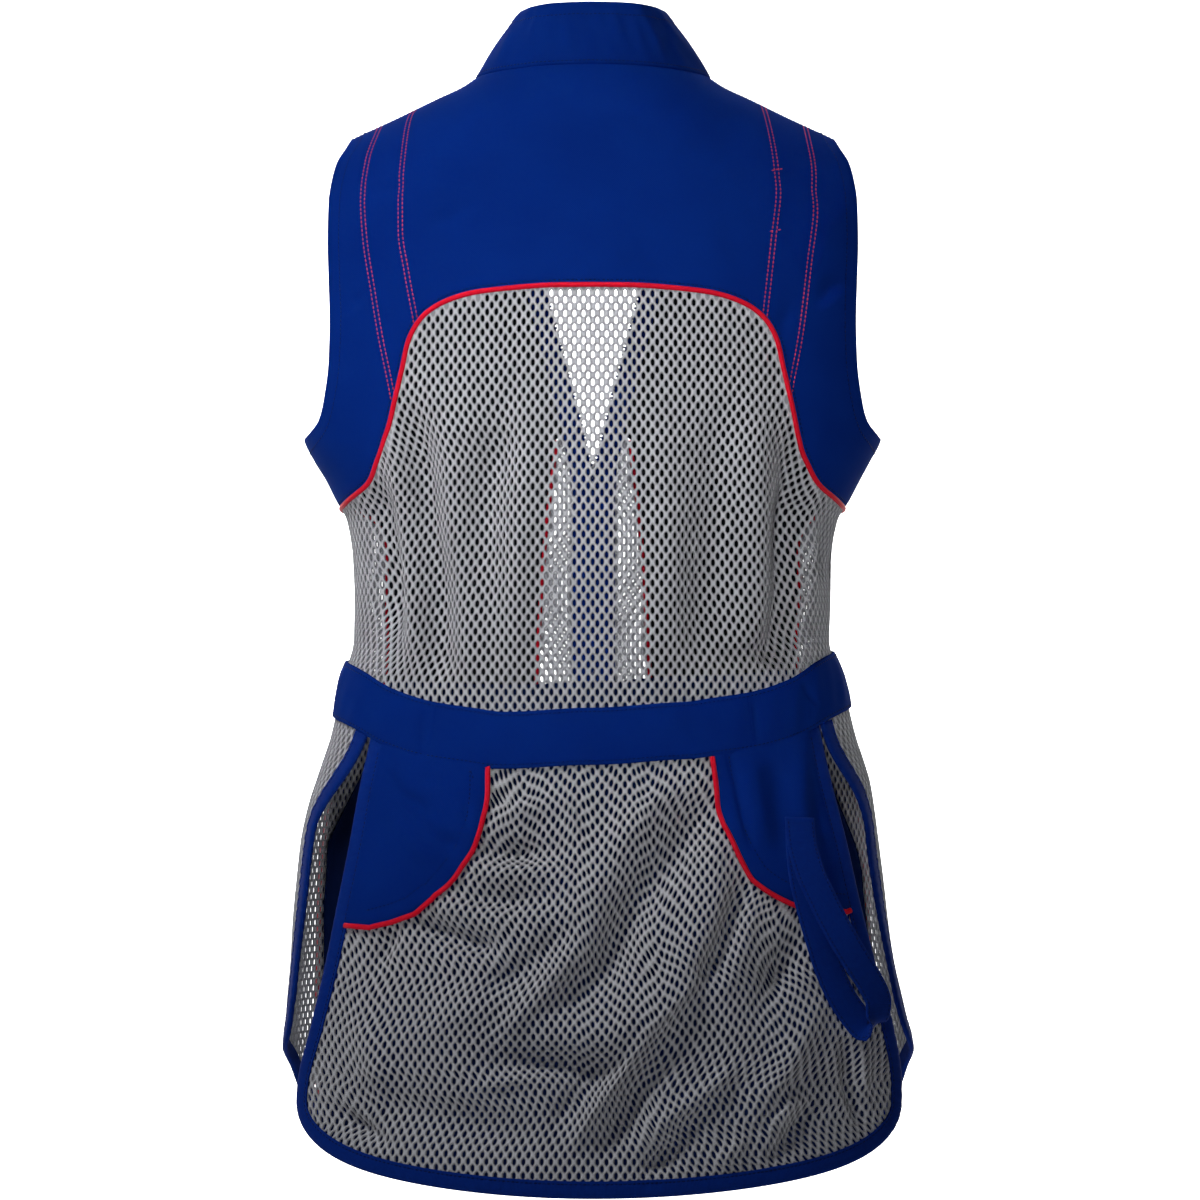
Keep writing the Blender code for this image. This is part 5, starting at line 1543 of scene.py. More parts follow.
def make_waistband(name, node, start, end):
    across = np.linspace(-1, 1, BAND_LINES)[:, None] * BAND_HALF
    angles = np.linspace(start, end, BAND_STEPS + 1)[None, :]
    net = np.stack([angles + 0 * across, waist(angles) - across], -1)
    made = panel(name, net, body, plain_body, 0.0, low=LIFT - BAND_SINK, high=LIFT + BAND_WALL,
                 bulge=band_bulge(net), creases=BAND_CREASES, strip=True, deepest=DEEPEST)
    return dress(made, node)


bands = {
    "back": make_waistband("band_back", "waistband_back", -BAND_JOIN + BAND_PARTING,
                           BAND_JOIN - BAND_PARTING),
    "left": make_waistband("band_left", "waistband_left", BAND_JOIN, BAND_END),
    "right": make_waistband("band_right", "waistband_right", -BAND_END, -BAND_JOIN),
}
print("bands", [flat_cut(made) for made in bands.values()])

# %% [markdown]
# ## The towel loop
# One strap of folded drill is sewn into the waist at the right hip and hangs as a loop. It leaves the
# skirt at its foot, turns over and comes back up on itself. Its path carries a twist, given in the
# table with the stand-off from the skirt.

# %% Towel loop
# Towel loop: x, height, stand-off from the flap, turn of its width in degrees
TOWEL_LOOP = (
    (-0.1341, -0.4912, 0.0034, 0),
    (-0.1344, -0.5093, 0.0040, 2),
    (-0.1358, -0.5288, 0.0050, 8),
    (-0.1399, -0.5494, 0.0056, 18),
    (-0.1453, -0.5699, 0.0062, 24),
    (-0.1502, -0.5867, 0.0066, 28),
    (-0.1567, -0.6036, 0.0076, 34),
    (-0.1645, -0.6181, 0.0096, 38),
    (-0.1715, -0.6280, 0.0140, 38),
    (-0.1743, -0.6239, 0.0190, 36),
    (-0.1747, -0.6127, 0.0205, 35),
    (-0.1702, -0.5998, 0.0200, 35),
    (-0.1620, -0.5842, 0.0185, 34),
    (-0.1529, -0.5654, 0.0160, 30),
    (-0.1445, -0.5455, 0.0130, 22),
    (-0.1371, -0.5244, 0.0100, 12),
    (-0.1336, -0.5061, 0.0078, 4),
    (-0.1329, -0.4917, 0.0064, 0),
)
LOOP_WIDTH = 21 * MM
LOOP_WALL = 1.8 * MM
LOOP_RINGS = 150
# Section of the strap: share of the half width, share of the half thickness
STRAP_SECTION = (
    (1.0, 0.0), (0.97, 0.75), (0.88, 1.0), (0.80, 0.82), (0.70, 1.0), (0.35, 1.12), (0.0, 1.15),
    (-0.35, 1.12), (-0.70, 1.0), (-0.80, 0.82), (-0.88, 1.0), (-0.97, 0.75), (-1.0, 0.0),
    (-0.97, -0.75), (-0.88, -1.0), (-0.80, -0.82), (-0.70, -1.0), (-0.35, -1.12), (0.0, -1.15),
    (0.35, -1.12), (0.70, -1.0), (0.80, -0.82), (0.88, -1.0), (0.97, -0.75),
)


def towel_loop_route():
    rows = np.array(TOWEL_LOOP)
    run = distances(rows[:, :3])
    table = np.column_stack([run / run[-1], rows])
    at = steps(LOOP_RINGS)
    x, z, lift, turn = (curve(table, column)(at) for column in (1, 2, 3, 4))
    point, normal, across, down = frame_at(angle_at(-x, z, -1), z, plain_body)
    route = point + normal * lift[:, None]
    tangent = unit(np.gradient(route, axis=0))
    level = -unit(across)
    upward = unit(down)
    turn = np.radians(turn)[:, None]
    width = np.cos(turn) * level + np.sin(turn) * upward
    width -= np.sum(width * tangent, 1, keepdims=True) * tangent
    width = unit(width)
    return route, width, np.cross(tangent, width)


def make_towel_loop():
    route, width, facing = towel_loop_route()
    section = np.array(STRAP_SECTION)
    half_w = width[:, None] * (section[:, 0] * LOOP_WIDTH / 2)[None, :, None]
    half_t = facing[:, None] * (section[:, 1] * LOOP_WALL / 2)[None, :, None]
    made = loft("towel_strap", route[:, None] + half_w + half_t, binding_cloth)
    cut_sizes["towel_strap"] = (LOOP_WIDTH, float(distances(route)[-1]), None)
    return dress(made, "towel_loop")


towel_strap = make_towel_loop()
print("towel strap", flat_cut(towel_strap))

# %% [markdown]
# ## Collar
# The collar stands on the neck seam and leans in towards the neck. It is cut double, with a stitched
# strip along its top edge, and it puckers a little along the seam.

# %% Collar
# Collar: share from the centre back, its top edge's reach across, back and up from the seam
COLLAR_REACH = (
    (0.00, 0.0000, -0.0135, 0.0414),
    (0.20, -0.0060, -0.0125, 0.0415),
    (0.38, -0.0200, -0.0070, 0.0420),
    (0.50, -0.0290, -0.0010, 0.0425),
    (0.62, -0.0270, 0.0030, 0.0430),
    (0.80, -0.0120, 0.0060, 0.0450),
    (1.00, 0.0030, 0.0060, 0.0460),
)
COLLAR_WALL = 2.2 * MM
FRONT_NECK_Z = -0.072
# Open front edge above the closed zip: height, distance from the middle
ZIP_LINE = (
    (-0.280, 0.0000),
    (-0.2576, 0.0012),
    (-0.240, 0.0046),
    (-0.200, 0.0146),
    (-0.130, 0.0330),
    (-0.100, 0.0385),
    (-0.072, 0.0415),
)
zip_line = curve(ZIP_LINE, 1)
COLLAR_SHARES = np.concatenate([np.linspace(0, 0.5, 46), np.linspace(0.5, 0.985, 46)[1:]])
COLLAR_LEVELS = 26
# From this share of its height up the collar has a doubled strip; its rise, and the slope below it
COLLAR_STRIP = 0.84
STRIP_RISE, STRIP_SLOPE = 0.6 * MM, 0.05
COLLAR_CROWN = 1.2 * MM
# Its puckers: their height, and the turns along the seam and up the collar of wide and fine ones
COLLAR_PUCKER = 0.55 * MM
WIDE_TURNS, FINE_TURNS = (34, -2.6), (61, 3.0)
FINE_SHARE = 0.5
# A quicker wave rides on the wide ones: share, turns, start
OVERTONE = (0.6, 2.3, 1.7)
PUCKER_POWER = 0.7


def front_neck(degrees):
    """The front neck seam: 90 degrees at the shoulder, 0 at the open zip."""
    turn = np.radians(degrees)
    inner = float(zip_line(FRONT_NECK_Z))
    x = inner + (NECK_HALF - inner) * np.sin(turn)
    rise = shoulder_height(NECK_HALF) - CREST_STEP[True] - FRONT_NECK_Z
    z = FRONT_NECK_Z + rise * (1 - np.cos(turn))
    return path_of(x, z)


def neck_ring(side, share):
    """The neck seam on one side: the back half, then the front half to the zip."""
    back_x = NECK_HALF * np.clip(share * 2, 0, 1)
    back_part = on_side(path_of(back_x, neck_seam_height(back_x) - CREST_STEP[False]), side)
    front_part = on_side(front_neck(90 * np.clip(2 - share * 2, 0, 1)), side, True)
    return np.where((share <= 0.5)[:, None], back_part, front_part)


def collar_puckers(share, level):
    """Slanting puckers, strongest near the seam."""
    wide, fine_lean = (along * share + up * level for along, up in (WIDE_TURNS, FINE_TURNS))
    part, turns, start = OVERTONE
    wave = np.sin(wide) + part * np.sin(turns * wide + start) + FINE_SHARE * np.sin(fine_lean)
    return COLLAR_PUCKER * wave * np.sin(np.pi * np.clip(level, 0, 1)) ** PUCKER_POWER


def make_collar():
    share = COLLAR_SHARES
    level = np.linspace(0, 1, COLLAR_LEVELS)
    halves, flats = [], []
    for side in (-1, 1):
        path = neck_ring(side, share)
        base = plain_body(path[:, 0], path[:, 1])
        reach = np.column_stack([curve(COLLAR_REACH, column)(share) for column in (1, 2, 3)])
        reach[:, 0] *= side
        halves.append(base[None] + reach[None] * level[:, None, None])
        run = distances(base)
        tall = np.linalg.norm(reach, axis=1)
        flats.append(np.stack([np.broadcast_to(-side * run, halves[0].shape[:2]),
                               level[:, None] * tall[None]], -1))
    points = np.concatenate([halves[0][:, ::-1], halves[1][:, 1:]], 1)[::-1]
    flat = np.concatenate([flats[0][:, ::-1], flats[1][:, 1:]], 1)[::-1]
    across = np.gradient(points, axis=1)
    up = np.gradient(points, axis=0)
    normal = unit(np.cross(up, across))
    away = np.sum(normal * (points - points.mean((0, 1))), -1).sum()
    normal = normal if away > 0 else -normal
    signed = np.concatenate([-share[::-1], share[1:]])[None]
    pucker = collar_puckers(signed, level[::-1][:, None])
    crown = COLLAR_CROWN * np.sin(np.pi * level[::-1])[:, None]
    strip = STRIP_RISE * smooth_step((level[::-1][:, None] - COLLAR_STRIP) / STRIP_SLOPE)
    outer = points + normal * (COLLAR_WALL / 2 + pucker + crown + strip)[..., None]
    note_cut("collar_stand", flat, strip=True)
    outer_faces["collar_stand"] = outer, normal
    made = shell("collar_stand", outer, normal, COLLAR_WALL, flat, drill)
    return dress(made, "collar")


collar_stand = make_collar()
print("collar", flat_cut(collar_stand))

# %% [markdown]
# ## The fronts
# The photo shows the fronts only through the mesh back, and at the sides. Each has a drill panel from
# the shoulder to the waist, a strip of mesh beside the zip and a mesh panel at the side, joined with
# piping. They are finished in the same way as the back.

# %% Front panels
# Seam of the front panel with the mesh strip by the zip: height, distance from the middle
STRIP_SEAM = (
    (-0.4200, 0.0405),
    (-0.3200, 0.0347),
    (-0.2366, 0.0255),
    (-0.2250, 0.0238),
)
# Seam of the front panel with the side mesh: share, angle in degrees, height
SIDE_PANEL_SEAM = (
    (0.00, 90.0, -0.2880),
    (0.16, 102.0, -0.2885),
    (0.30, 112.0, -0.2920),
    (0.40, 117.0, -0.3000),
    (0.47, 118.3, -0.3100),
    (0.70, 117.2, -0.3480),
    (0.85, 118.3, -0.3750),
    (1.00, 121.5, -0.4000),
)
strip_seam = curve(STRIP_SEAM, 1)
# Placket and zip tape: distance of both edges from the opening
PLACKET = (4.0 * MM, 15.0 * MM)
ZIP_TAPE = (0.6 * MM, 12.0 * MM)
PLACKET_EDGE = PLACKET[1] - 0.5 * MM
TAPE_DEPTH = 2.2 * MM
STRIP_TOP_Z = -0.2365
STRIP_FOOT_ANGLE = math.radians(165)
STRIP_COLUMNS, EDGE_COLUMNS = 6, 5
OPENING_FOOT_Z = -0.2315
FRONT_FINE = 5
OPENING_SHARES = fine((0, 0.38, 0.60, 0.74, 0.84, 0.90, 0.95, 1), FRONT_FINE)
ARMHOLE_SHARES = fine((0, 0.14, 0.28, 0.42, 0.56, 0.68, 0.77, 0.84, 0.90, 0.95, 1), FRONT_FINE)
TOP_FADE = 5
LOWER_SHARES = fine((0, 0.1, 0.2, 0.28, 0.34, 0.40, 0.46, 0.52, 0.60, 0.70, 0.80, 0.88, 0.94, 1),
                    FRONT_FINE)
SIDE_CORNER = 5 * FRONT_FINE
FRONT_COLUMNS = 42
NECK_POINTS = 400


def neck_cut(offset):
    """Where the neck seam crosses a line beside the open zip, in degrees."""
    degrees = np.linspace(0, 90, NECK_POINTS)
    path = front_neck(degrees)
    return float(degrees[np.argmax(path[:, 0] > zip_line(path[:, 1]) + offset)])


def strip_seam_path(side):
    """The seam of the front panel with the mesh strip, down to the waist."""
    end = float(waist(STRIP_FOOT_ANGLE))
    z = np.linspace(STRIP_TOP_Z, end + SEAM / 2, len(LOWER_SHARES))
    return on_side(path_of(strip_seam(z), z), side, True)


def side_panel_seam(side):
    """The seam of the front patch with the side mesh, from the side seam to the waist."""
    angle = np.radians(curve(SIDE_PANEL_SEAM, 1)(LOWER_SHARES))
    z = curve(SIDE_PANEL_SEAM, 2)(LOWER_SHARES)
    path = path_of(side * angle, z)
    path[0, 0] = side * (SIDE + SEAM_ANGLE)
    path[-1, 1] = waist(path[-1, 0]) + SEAM / 2
    return path


def end_at_waist(path):
    held = path.copy()
    held[-1, 1] = waist(path[-1, 0]) + SEAM / 2
    return held


def opening_heights(cut):
    """Heights down the open zip, from where the neck seam crosses, in degrees."""
    top = float(front_neck(np.array([cut]))[0, 1])
    return top + (OPENING_FOOT_Z - top) * np.array(OPENING_SHARES)


def make_front_upper(side, name):
    centre = side * math.pi
    cut = neck_cut(PLACKET_EDGE)
    opening_z = opening_heights(cut)[1:]
    seam = strip_seam_path(side)
    side_seam = side_panel_seam(side)
    armhole = armhole_path(ARMHOLE_FRONT, side, True, ARMHOLE_SHARES)
    opening = on_side(path_of(zip_line(opening_z) + PLACKET_EDGE, opening_z), side, True)
    strip_edge = end_at_waist(beside(seam, side * SEAM_HIDE, body))
    side_edge = end_at_waist(beside(side_seam, -side * SEAM_HIDE, body))
    side_edge[0, 0] = side * (SIDE + SEAM_ANGLE)
    outer = np.concatenate([armhole, side_edge])
    neck_count = len(outer) - len(opening) - len(strip_edge)
    neck = on_side(front_neck(np.linspace(90, cut, neck_count)), side, True)
    inner = np.concatenate([neck, opening, strip_edge])
    top = shoulder_path(side, True, FRONT_COLUMNS)
    foot_angles = np.linspace(inner[-1, 0], outer[-1, 0], FRONT_COLUMNS + 1)
    net = patch(top, waist_path(foot_angles, SEAM / 2), inner, outer, fade=TOP_FADE)
    # Its inner face takes the painted shade of the inside
    front = panel(f"front_panel_{name}", net, body, plain_body, centre, inside=painted_inside_shade)
    dress(front, f"front_patch_{name}")
    for label, route in (("strip", seam), ("side", side_seam)):
        tube_path = end_at_waist(route.copy())
        tube_path[-1, 1] += MM
        piping(f"piping_{label}_{name}", tube_path, body, -PIPING_SINK, f"{label}_piping_{name}")
    strip_outer = end_at_waist(beside(seam, -side * SEAM_HIDE, body))
    strip_z = strip_outer[:, 1]
    strip_inner = path_of(zip_line(strip_z) + PLACKET_EDGE, strip_z)
    strip_inner = end_at_waist(on_side(strip_inner, side, True))
    strip = punched(f"mesh_strip_{name}", ruled(strip_inner, strip_outer, steps(STRIP_COLUMNS)), body,
                    plain_body, centre)
    dress(strip, f"front_strip_{name}")
    mesh_edge = end_at_waist(beside(side_seam, side * SEAM_HIDE, body))
    mesh_edge[0, 0] = side * (SIDE + SEAM_ANGLE)
    corner = SIDE_CORNER
    foot_z = float(waist(SIDE * side)) + SEAM / 2
    rear_z = mesh_edge[0, 1] + (foot_z - mesh_edge[0, 1]) * steps(len(mesh_edge) - 1 - corner)
    rear = path_of(side * (SIDE + SEAM_ANGLE), rear_z)
    foot = waist_path(np.linspace(rear[-1, 0], mesh_edge[-1, 0], corner + 1), SEAM / 2)
    net = patch(mesh_edge[:corner + 1], foot, rear, mesh_edge[corner:])
    side_mesh = punched(f"mesh_side_{name}", net, body, plain_body, centre)
    dress(side_mesh, f"side_mesh_{name}")
    return front, strip, side_mesh


front_uppers = each_side(make_front_upper)
print("fronts, strips, side panels", [flat_cut(made) for three in front_uppers.values() for made in three])

# %% [markdown]
# ## The zip edges
# A strip of drill carries the zip on each side. The tape lies behind it, with its toothed edge at the
# opening. The zip is closed from the hem up to the foot of the open neck.

# %% Plackets and zip tapes
FRONT_HEM_Z = -0.7565
EDGE_COUNT = 60


def front_sheet(angle, z):
    """The front from collar to hem: the body above the waist, the flap below it."""
    above = (z > waist(angle))[..., None]
    return np.where(above, body(angle, z), flap(angle, z))


def plain_front(angle, z):
    above = (z > waist(angle))[..., None]
    return np.where(above, plain_body(angle, z), plain_flap(angle, z))


def edge_heights(side_offset):
    start = float(front_neck(np.array([neck_cut(side_offset + SEAM)]))[0, 1])
    return np.concatenate([
        np.linspace(start, ZIP_OPEN_Z, EDGE_COUNT)[:-1],
        np.linspace(ZIP_OPEN_Z, float(waist(math.pi)), EDGE_COUNT)[:-1],
        np.linspace(float(waist(math.pi)), FRONT_HEM_Z - MM, EDGE_COUNT),
    ])


def edge_path(side, offset):
    z = edge_heights(offset)
    return on_side(path_of(zip_line(z) + offset, z), side, True)


def make_front_edges(side, name):
    centre = side * math.pi
    made = []
    for piece, node, (near, far), slot, cloth, low, high in (
            ("placket_cloth", "placket", PLACKET, "cotton", drill, -WALL, 0.0),
            ("tape", "zip_tape", ZIP_TAPE, "zip_tape", tape_cloth, -TAPE_DEPTH - WALL, -TAPE_DEPTH)):
        net = ruled(edge_path(side, near), edge_path(side, far), steps(EDGE_COLUMNS))
        strip = panel(f"{piece}_{name}", net, front_sheet, plain_front, centre, cloth, low, high,
                      strip=True)
        made.append(dress(strip, f"{node}_{name}"))
    return made


front_edges = each_side(make_front_edges)
print("plackets and tapes", [flat_cut(made) for two in front_edges.values() for made in two])

# %% [markdown]
# ## Front flaps and pockets
# Each lower front is a mesh flap, bound along its free edges, with a large pocket of drill on it. The
# flaps show at the side vents, behind the skirt.

# %% Front flaps
# Rear edges of the front flaps: height, left, right
FRONT_FLAP_EDGE = (
    (-0.4050, 0.1409, 0.1449),
    (-0.4250, 0.1462, 0.1502),
    (-0.4434, 0.1525, 0.1557),
    (-0.4585, 0.1605, 0.1640),
    (-0.4700, 0.1685, 0.1715),
    (-0.4820, 0.1770, 0.1775),
    (-0.4975, 0.1850, 0.1820),
    (-0.5170, 0.1880, 0.1840),
    (-0.5560, 0.1925, 0.1905),
    (-0.5950, 0.1975, 0.1985),
    (-0.6340, 0.2010, 0.2060),
)
# Lower edge of a front flap: angle in degrees, height
FRONT_HEM = (
    (77.0, -0.6130),
    (77.8, -0.6260),
    (80.5, -0.6380),
    (85.5, -0.6465),
    (92.0, -0.6530),
    (99.0, -0.6615),
    (106, -0.6800),
    (113, -0.7040),
    (122, -0.7260),
    (140, -0.7475),
    (160, -0.7555),
    (176, -0.7565),
)
FRONT_FLAP_NET = (84, 60)
HEM_POINTS = 160


def front_flap_edges(side):
    """Top, hem, zip edge and rear edge of a front flap."""
    columns, rows = FRONT_FLAP_NET
    rear = flap_side(FRONT_FLAP_EDGE, side, FRONT_HEM[0][1], flap_sections)
    rear = resample(rear, steps(rows), flap)
    inner_x = PLACKET[1] + SEAM
    end = float(angle_at(inner_x, FRONT_HEM_Z, side, True, flap_sections))
    degrees = np.linspace(math.degrees(abs(rear[-1, 0])), math.degrees(abs(end)), HEM_POINTS)
    hem = path_of(side * np.radians(degrees), curve(FRONT_HEM, 1)(degrees))
    hem[0] = rear[-1]
    hem = resample(hem[::-1], steps(columns), flap)
    start = float(waist(end)) - SEAM / 2
    z = np.linspace(start, hem[0, 1], rows + 1)
    inner = on_side(path_of(inner_x, z), side, True, flap_sections)
    top = waist_path(np.linspace(inner[0, 0], rear[0, 0], columns + 1), -SEAM / 2)
    return top, hem, inner, rear


flap_edges = {}


def make_front_flap(side, name):
    top, hem, inner, rear = front_flap_edges(side)
    made = punched(f"flap_front_{name}", patch(top, hem, inner, rear), flap, plain_flap,
                   side * math.pi)
    edge = chain(hem, below_band(rear)[::-1])
    flap_edges[name] = edge
    binding(f"binding_flap_{name}", edge, flap, f"front_flap_binding_{name}", side=side)
    return dress(made, f"front_flap_{name}")


front_flaps = each_side(make_front_flap)
print("front flaps", [flat_cut(made) for made in front_flaps.values()])

# %% Front pockets
# Outer edge of the front pockets: height, distance from the middle
POCKET_EDGE = (
    (-0.405, 0.148),
    (-0.440, 0.162),
    (-0.480, 0.177),
    (-0.531, 0.184),
    (-0.610, 0.187),
    (-0.668, 0.188),
)
pocket_edge = curve(POCKET_EDGE, 1)
POCKET_CORNER_Z = -0.668
POCKET_FOOT_Z = -0.738
POCKET_FULLNESS = 5 * MM
POCKET_SAG = 0.1
POCKET_POWER = 5
POCKET_ROUNDNESS = 2
POCKET_TOP_ANGLE = math.radians(119)
POCKET_STEPS = 45
POCKET_EDGE_POINTS = 120
SWELL_POWER = 0.8


def make_pocket(side, name):
    z = np.linspace(float(waist(POCKET_TOP_ANGLE * side)) - SEAM - MM, POCKET_CORNER_Z,
                    POCKET_EDGE_POINTS)
    outer = on_side(path_of(pocket_edge(z), z), side, True, flap_sections)
    inner_x = PLACKET[1] + SEAM
    foot = hem_curve(float(pocket_edge(POCKET_CORNER_Z)), POCKET_CORNER_Z, POCKET_FOOT_Z,
                     POCKET_SAG, POCKET_POWER, POCKET_ROUNDNESS, x_start=inner_x)
    foot = on_side(foot, side, True, flap_sections)
    even_steps = steps(POCKET_STEPS)
    seam = chain(resample(outer, even_steps, flap), resample(foot[::-1], even_steps, flap))
    piping(f"piping_pocket_{name}", seam, flap, PIPING_SEAT, f"pocket_piping_{name}")
    edge = beside(seam, -side * SEAM_HIDE, flap)
    edge[0, 1] = seam[0, 1]
    rear, low = edge[:POCKET_STEPS + 1], edge[POCKET_STEPS:][::-1]
    inner_z = np.linspace(float(waist(low[0, 0])) - SEAM, low[0, 1], POCKET_STEPS + 1)
    inner = on_side(path_of(inner_x, inner_z), side, True, flap_sections)
    low[0] = inner[-1]
    top = waist_path(np.linspace(inner[0, 0], rear[0, 0], POCKET_STEPS + 1), -SEAM)
    net = patch(top, low, inner, rear)
    arch = np.sin(even_steps * math.pi) ** SWELL_POWER
    swell = np.outer(arch, arch) * POCKET_FULLNESS
    made = panel(f"pocket_{name}", net, flap, plain_flap, side * math.pi, low=OVER_MESH,
                 high=LIFT + WALL, bulge=swell)
    return dress(made, f"front_pocket_{name}")


# The lining starts close to the opening and ends this many rows above the hem
LINING_FROM = 0.4 * MM
LINING_ROWS_FREE = 1
LINING_COLUMNS = 40
# How far it runs up under the waistband, and how far it stays from the flap's rear edge
LINING_TOP = 6 * MM
LINING_EDGE = 1.5 * MM
# Behind the placket, up to this distance from the middle, it steps in by the second value
PLACKET_CLEAR = (16 * MM, 3.2 * MM)
LINING_SLOPE = 3 * MM
# How far it reaches past the pocket above and below its flare, and where the flare is
LINING_BEYOND = {"left": (1 * MM, 1 * MM), "right": (4 * MM, 15 * MM)}
LINING_FLARE_Z = (-0.585, -0.625)
# Its outer and inner face, as depths under the flap's face
LINING_DEPTH = (MESH_WALL + 1.4 * MM, MESH_WALL + 2.2 * MM)


def make_lining(side, name):
    """A facing inside the mesh, of navy drill mottled with near-black painted shade, from the zip past the
    pocket's edge and down to the hem.
    """
    whole = patch(*front_flap_edges(side))[:-LINING_ROWS_FREE]
    whole[0, :, 1] += LINING_TOP
    z = whole[:, 0, 1]
    near = on_side(path_of(zip_line(z) + LINING_FROM, z), side, True, flap_sections)[:, 0]
    beyond = np.interp(-z, np.negative(LINING_FLARE_Z), LINING_BEYOND[name])
    edge_x = pocket_edge(np.maximum(z, POCKET_CORNER_Z)) + beyond
    edge_x = np.minimum(edge_x, np.abs(plain_flap(whole[:, -1, 0], z)[:, 0]) - LINING_EDGE)
    far = on_side(path_of(edge_x, z), side, True, flap_sections)[:, 0]
    angles = near[:, None] + (far - near)[:, None] * steps(LINING_COLUMNS)
    heights = [np.interp(-np.abs(row), -np.abs(given[:, 0]), given[:, 1])
               for row, given in zip(angles, whole)]
    net = np.stack([angles, np.array(heights)], -1)
    from_middle = np.abs(plain_flap(net[..., 0], net[..., 1])[..., 0])
    clear_x, clear_depth = PLACKET_CLEAR
    step_in = np.clip((clear_x + LINING_SLOPE - from_middle) / LINING_SLOPE, 0, 1) * clear_depth
    lining = panel(f"pocket_lining_{name}", net, flap, plain_flap, side * math.pi, lining_and_shade_cloth,
                   low=-LINING_DEPTH[1], high=-LINING_DEPTH[0], bulge=-step_in)
    return dress(lining)


pockets = each_side(make_pocket)
linings = each_side(make_lining)
print("pockets", [flat_cut(made) for made in pockets.values()])
print("linings", [flat_cut(made) for made in linings.values()])


# %% [markdown]
# ## Stitching
# Every seam is held by a row of stitches, about three millimetres long. They are all alike and follow
# a line, so Geometry Nodes set one small bead on each step of the line, turned along it and standing
# on the cloth. Red thread makes the double rows on the yoke; the others are blue like the cloth.

# %% The tree that sews
def row_tree(name, shape):
    """Sets a bead or a block at each step of the lines it is given."""
    tree = Tree(name, [("Pitch", "Float"), ("Length", "Float"), ("Width", "Float"),
                       ("Height", "Float"), ("Finish", "Material")])
    given = tree.given
    lines = tree.add("MeshToCurve", given["Cloth"])[0]
    even = tree.add("ResampleCurve", lines, None, None, given["Pitch"], mode="LENGTH")[0]
    if shape == "bead":
        piece = tree.add("MeshIcoSphere", 0.5, 1)[0]
    else:
        piece = tree.add("MeshCube", (1.0, 1.0, 1.0), 2, 2, 2)[0]
    size = tree.joined(given["Length"], given["Width"], given["Height"])
    piece = tree.add("Transform", piece, None, None, size)[0]
    turned = tree.add("FunctionNodeAxesToRotation", tree.named("outward", "FLOAT_VECTOR"),
                      tree.add("InputTangent")[0], primary_axis="Z", secondary_axis="X")[0]
    row = tree.add("InstanceOnPoints", even, None, piece, None, None, turned)[0]
    return tree.end(row, given["Finish"])


stitch_tree = row_tree("Row of stitches", "bead")
STITCH = {"Pitch": 2.9 * MM, "Length": 2.5 * MM, "Width": 0.9 * MM, "Height": 0.6 * MM}
STITCH_FACES = 20


def line_object(name, lines):
    """One object of open lines, each with the way outward at its points."""
    points = np.concatenate([line[0] for line in lines])
    outward = np.concatenate([line[1] for line in lines])
    edges, start = [], 0
    for line in lines:
        edges += [(start + i, start + i + 1) for i in range(len(line[0]) - 1)]
        start += len(line[0])
    data = bpy.data.meshes.new(name)
    data.from_pydata([tuple(point) for point in points], edges, [])
    give_vectors(data, "outward", outward)
    return link_object(name, data)


def sew(name, lines, thread):
    made = line_object(name, lines)
    run_tree(made, stitch_tree, STITCH, thread)
    return dress(made)


def on_yoke(path, lift=0.0):
    """Points and normals of a line on the yoke, creases and all."""
    point, normal = on_cloth(path, body)
    height = relief(point[:, 0], point[:, 2], YOKE_CREASES) + lift
    return point + normal * height[:, None], normal


# %% Stitches of the yoke
# Red double rows: side, then distance from the middle and height down each
RED_ROWS = (
    (1, ((.1195, -.0215), (.1211, -.0239), (.1248, -.0548), (.1262, -.0822), (.1261, -.1054),
         (.1220, -.1331), (.1166, -.1614), (.1158, -.1655))),
    (1, ((.1425, -.0318), (.1431, -.0345), (.1491, -.0569), (.1517, -.0825), (.1501, -.1079),
         (.1446, -.1437), (.1392, -.1754), (.1318, -.2109), (.1310, -.2155))),
    (-1, ((.1135, -.0175), (.1153, -.0274), (.1196, -.0551), (.1219, -.0783), (.1184, -.1108),
          (.1130, -.1582), (.1126, -.1615))),
    (-1, ((.1418, -.0318), (.1427, -.0395), (.1457, -.0628), (.1464, -.0902), (.1422, -.1260),
          (.1368, -.1702), (.1294, -.2102), (.1288, -.2135))),
)
RED_HALF_GAP = 1.5 * MM
ARMHOLE_ROW = 9.5 * MM
SHOULDER_ROW = 2.2 * MM
SEAM_ROW = PIPING_RADIUS + 1.6 * MM
# Short bars across the right inner rows: distance from the middle, height
BARS = ((-.1212, -.0655), (-.1196, -.1065))
BAR_HALF = 2.6 * MM
BAR_MIDDLE_RISE, BAR_END_RISE = 0.6 * MM, 1.0 * MM
BAR_LIFT = 0.15 * MM
ARMHOLE_POINTS, SHOULDER_POINTS = 100, 60
# Points left out at both ends of the row along the yoke's seam
ROW_SHORT = 3


def red_rows():
    lines = []
    for side, rows in RED_ROWS:
        path = on_side(smooth_path(rows), side)
        lines += [on_yoke(beside(path, offset, body)) for offset in (-RED_HALF_GAP, RED_HALF_GAP)]
    for x, z in BARS:
        across = np.array([(-x - BAR_HALF, z), (-x, z + BAR_MIDDLE_RISE),
                           (-x + BAR_HALF, z + BAR_END_RISE)])
        lines.append(on_yoke(on_side(across, -1), BAR_LIFT))
    return lines


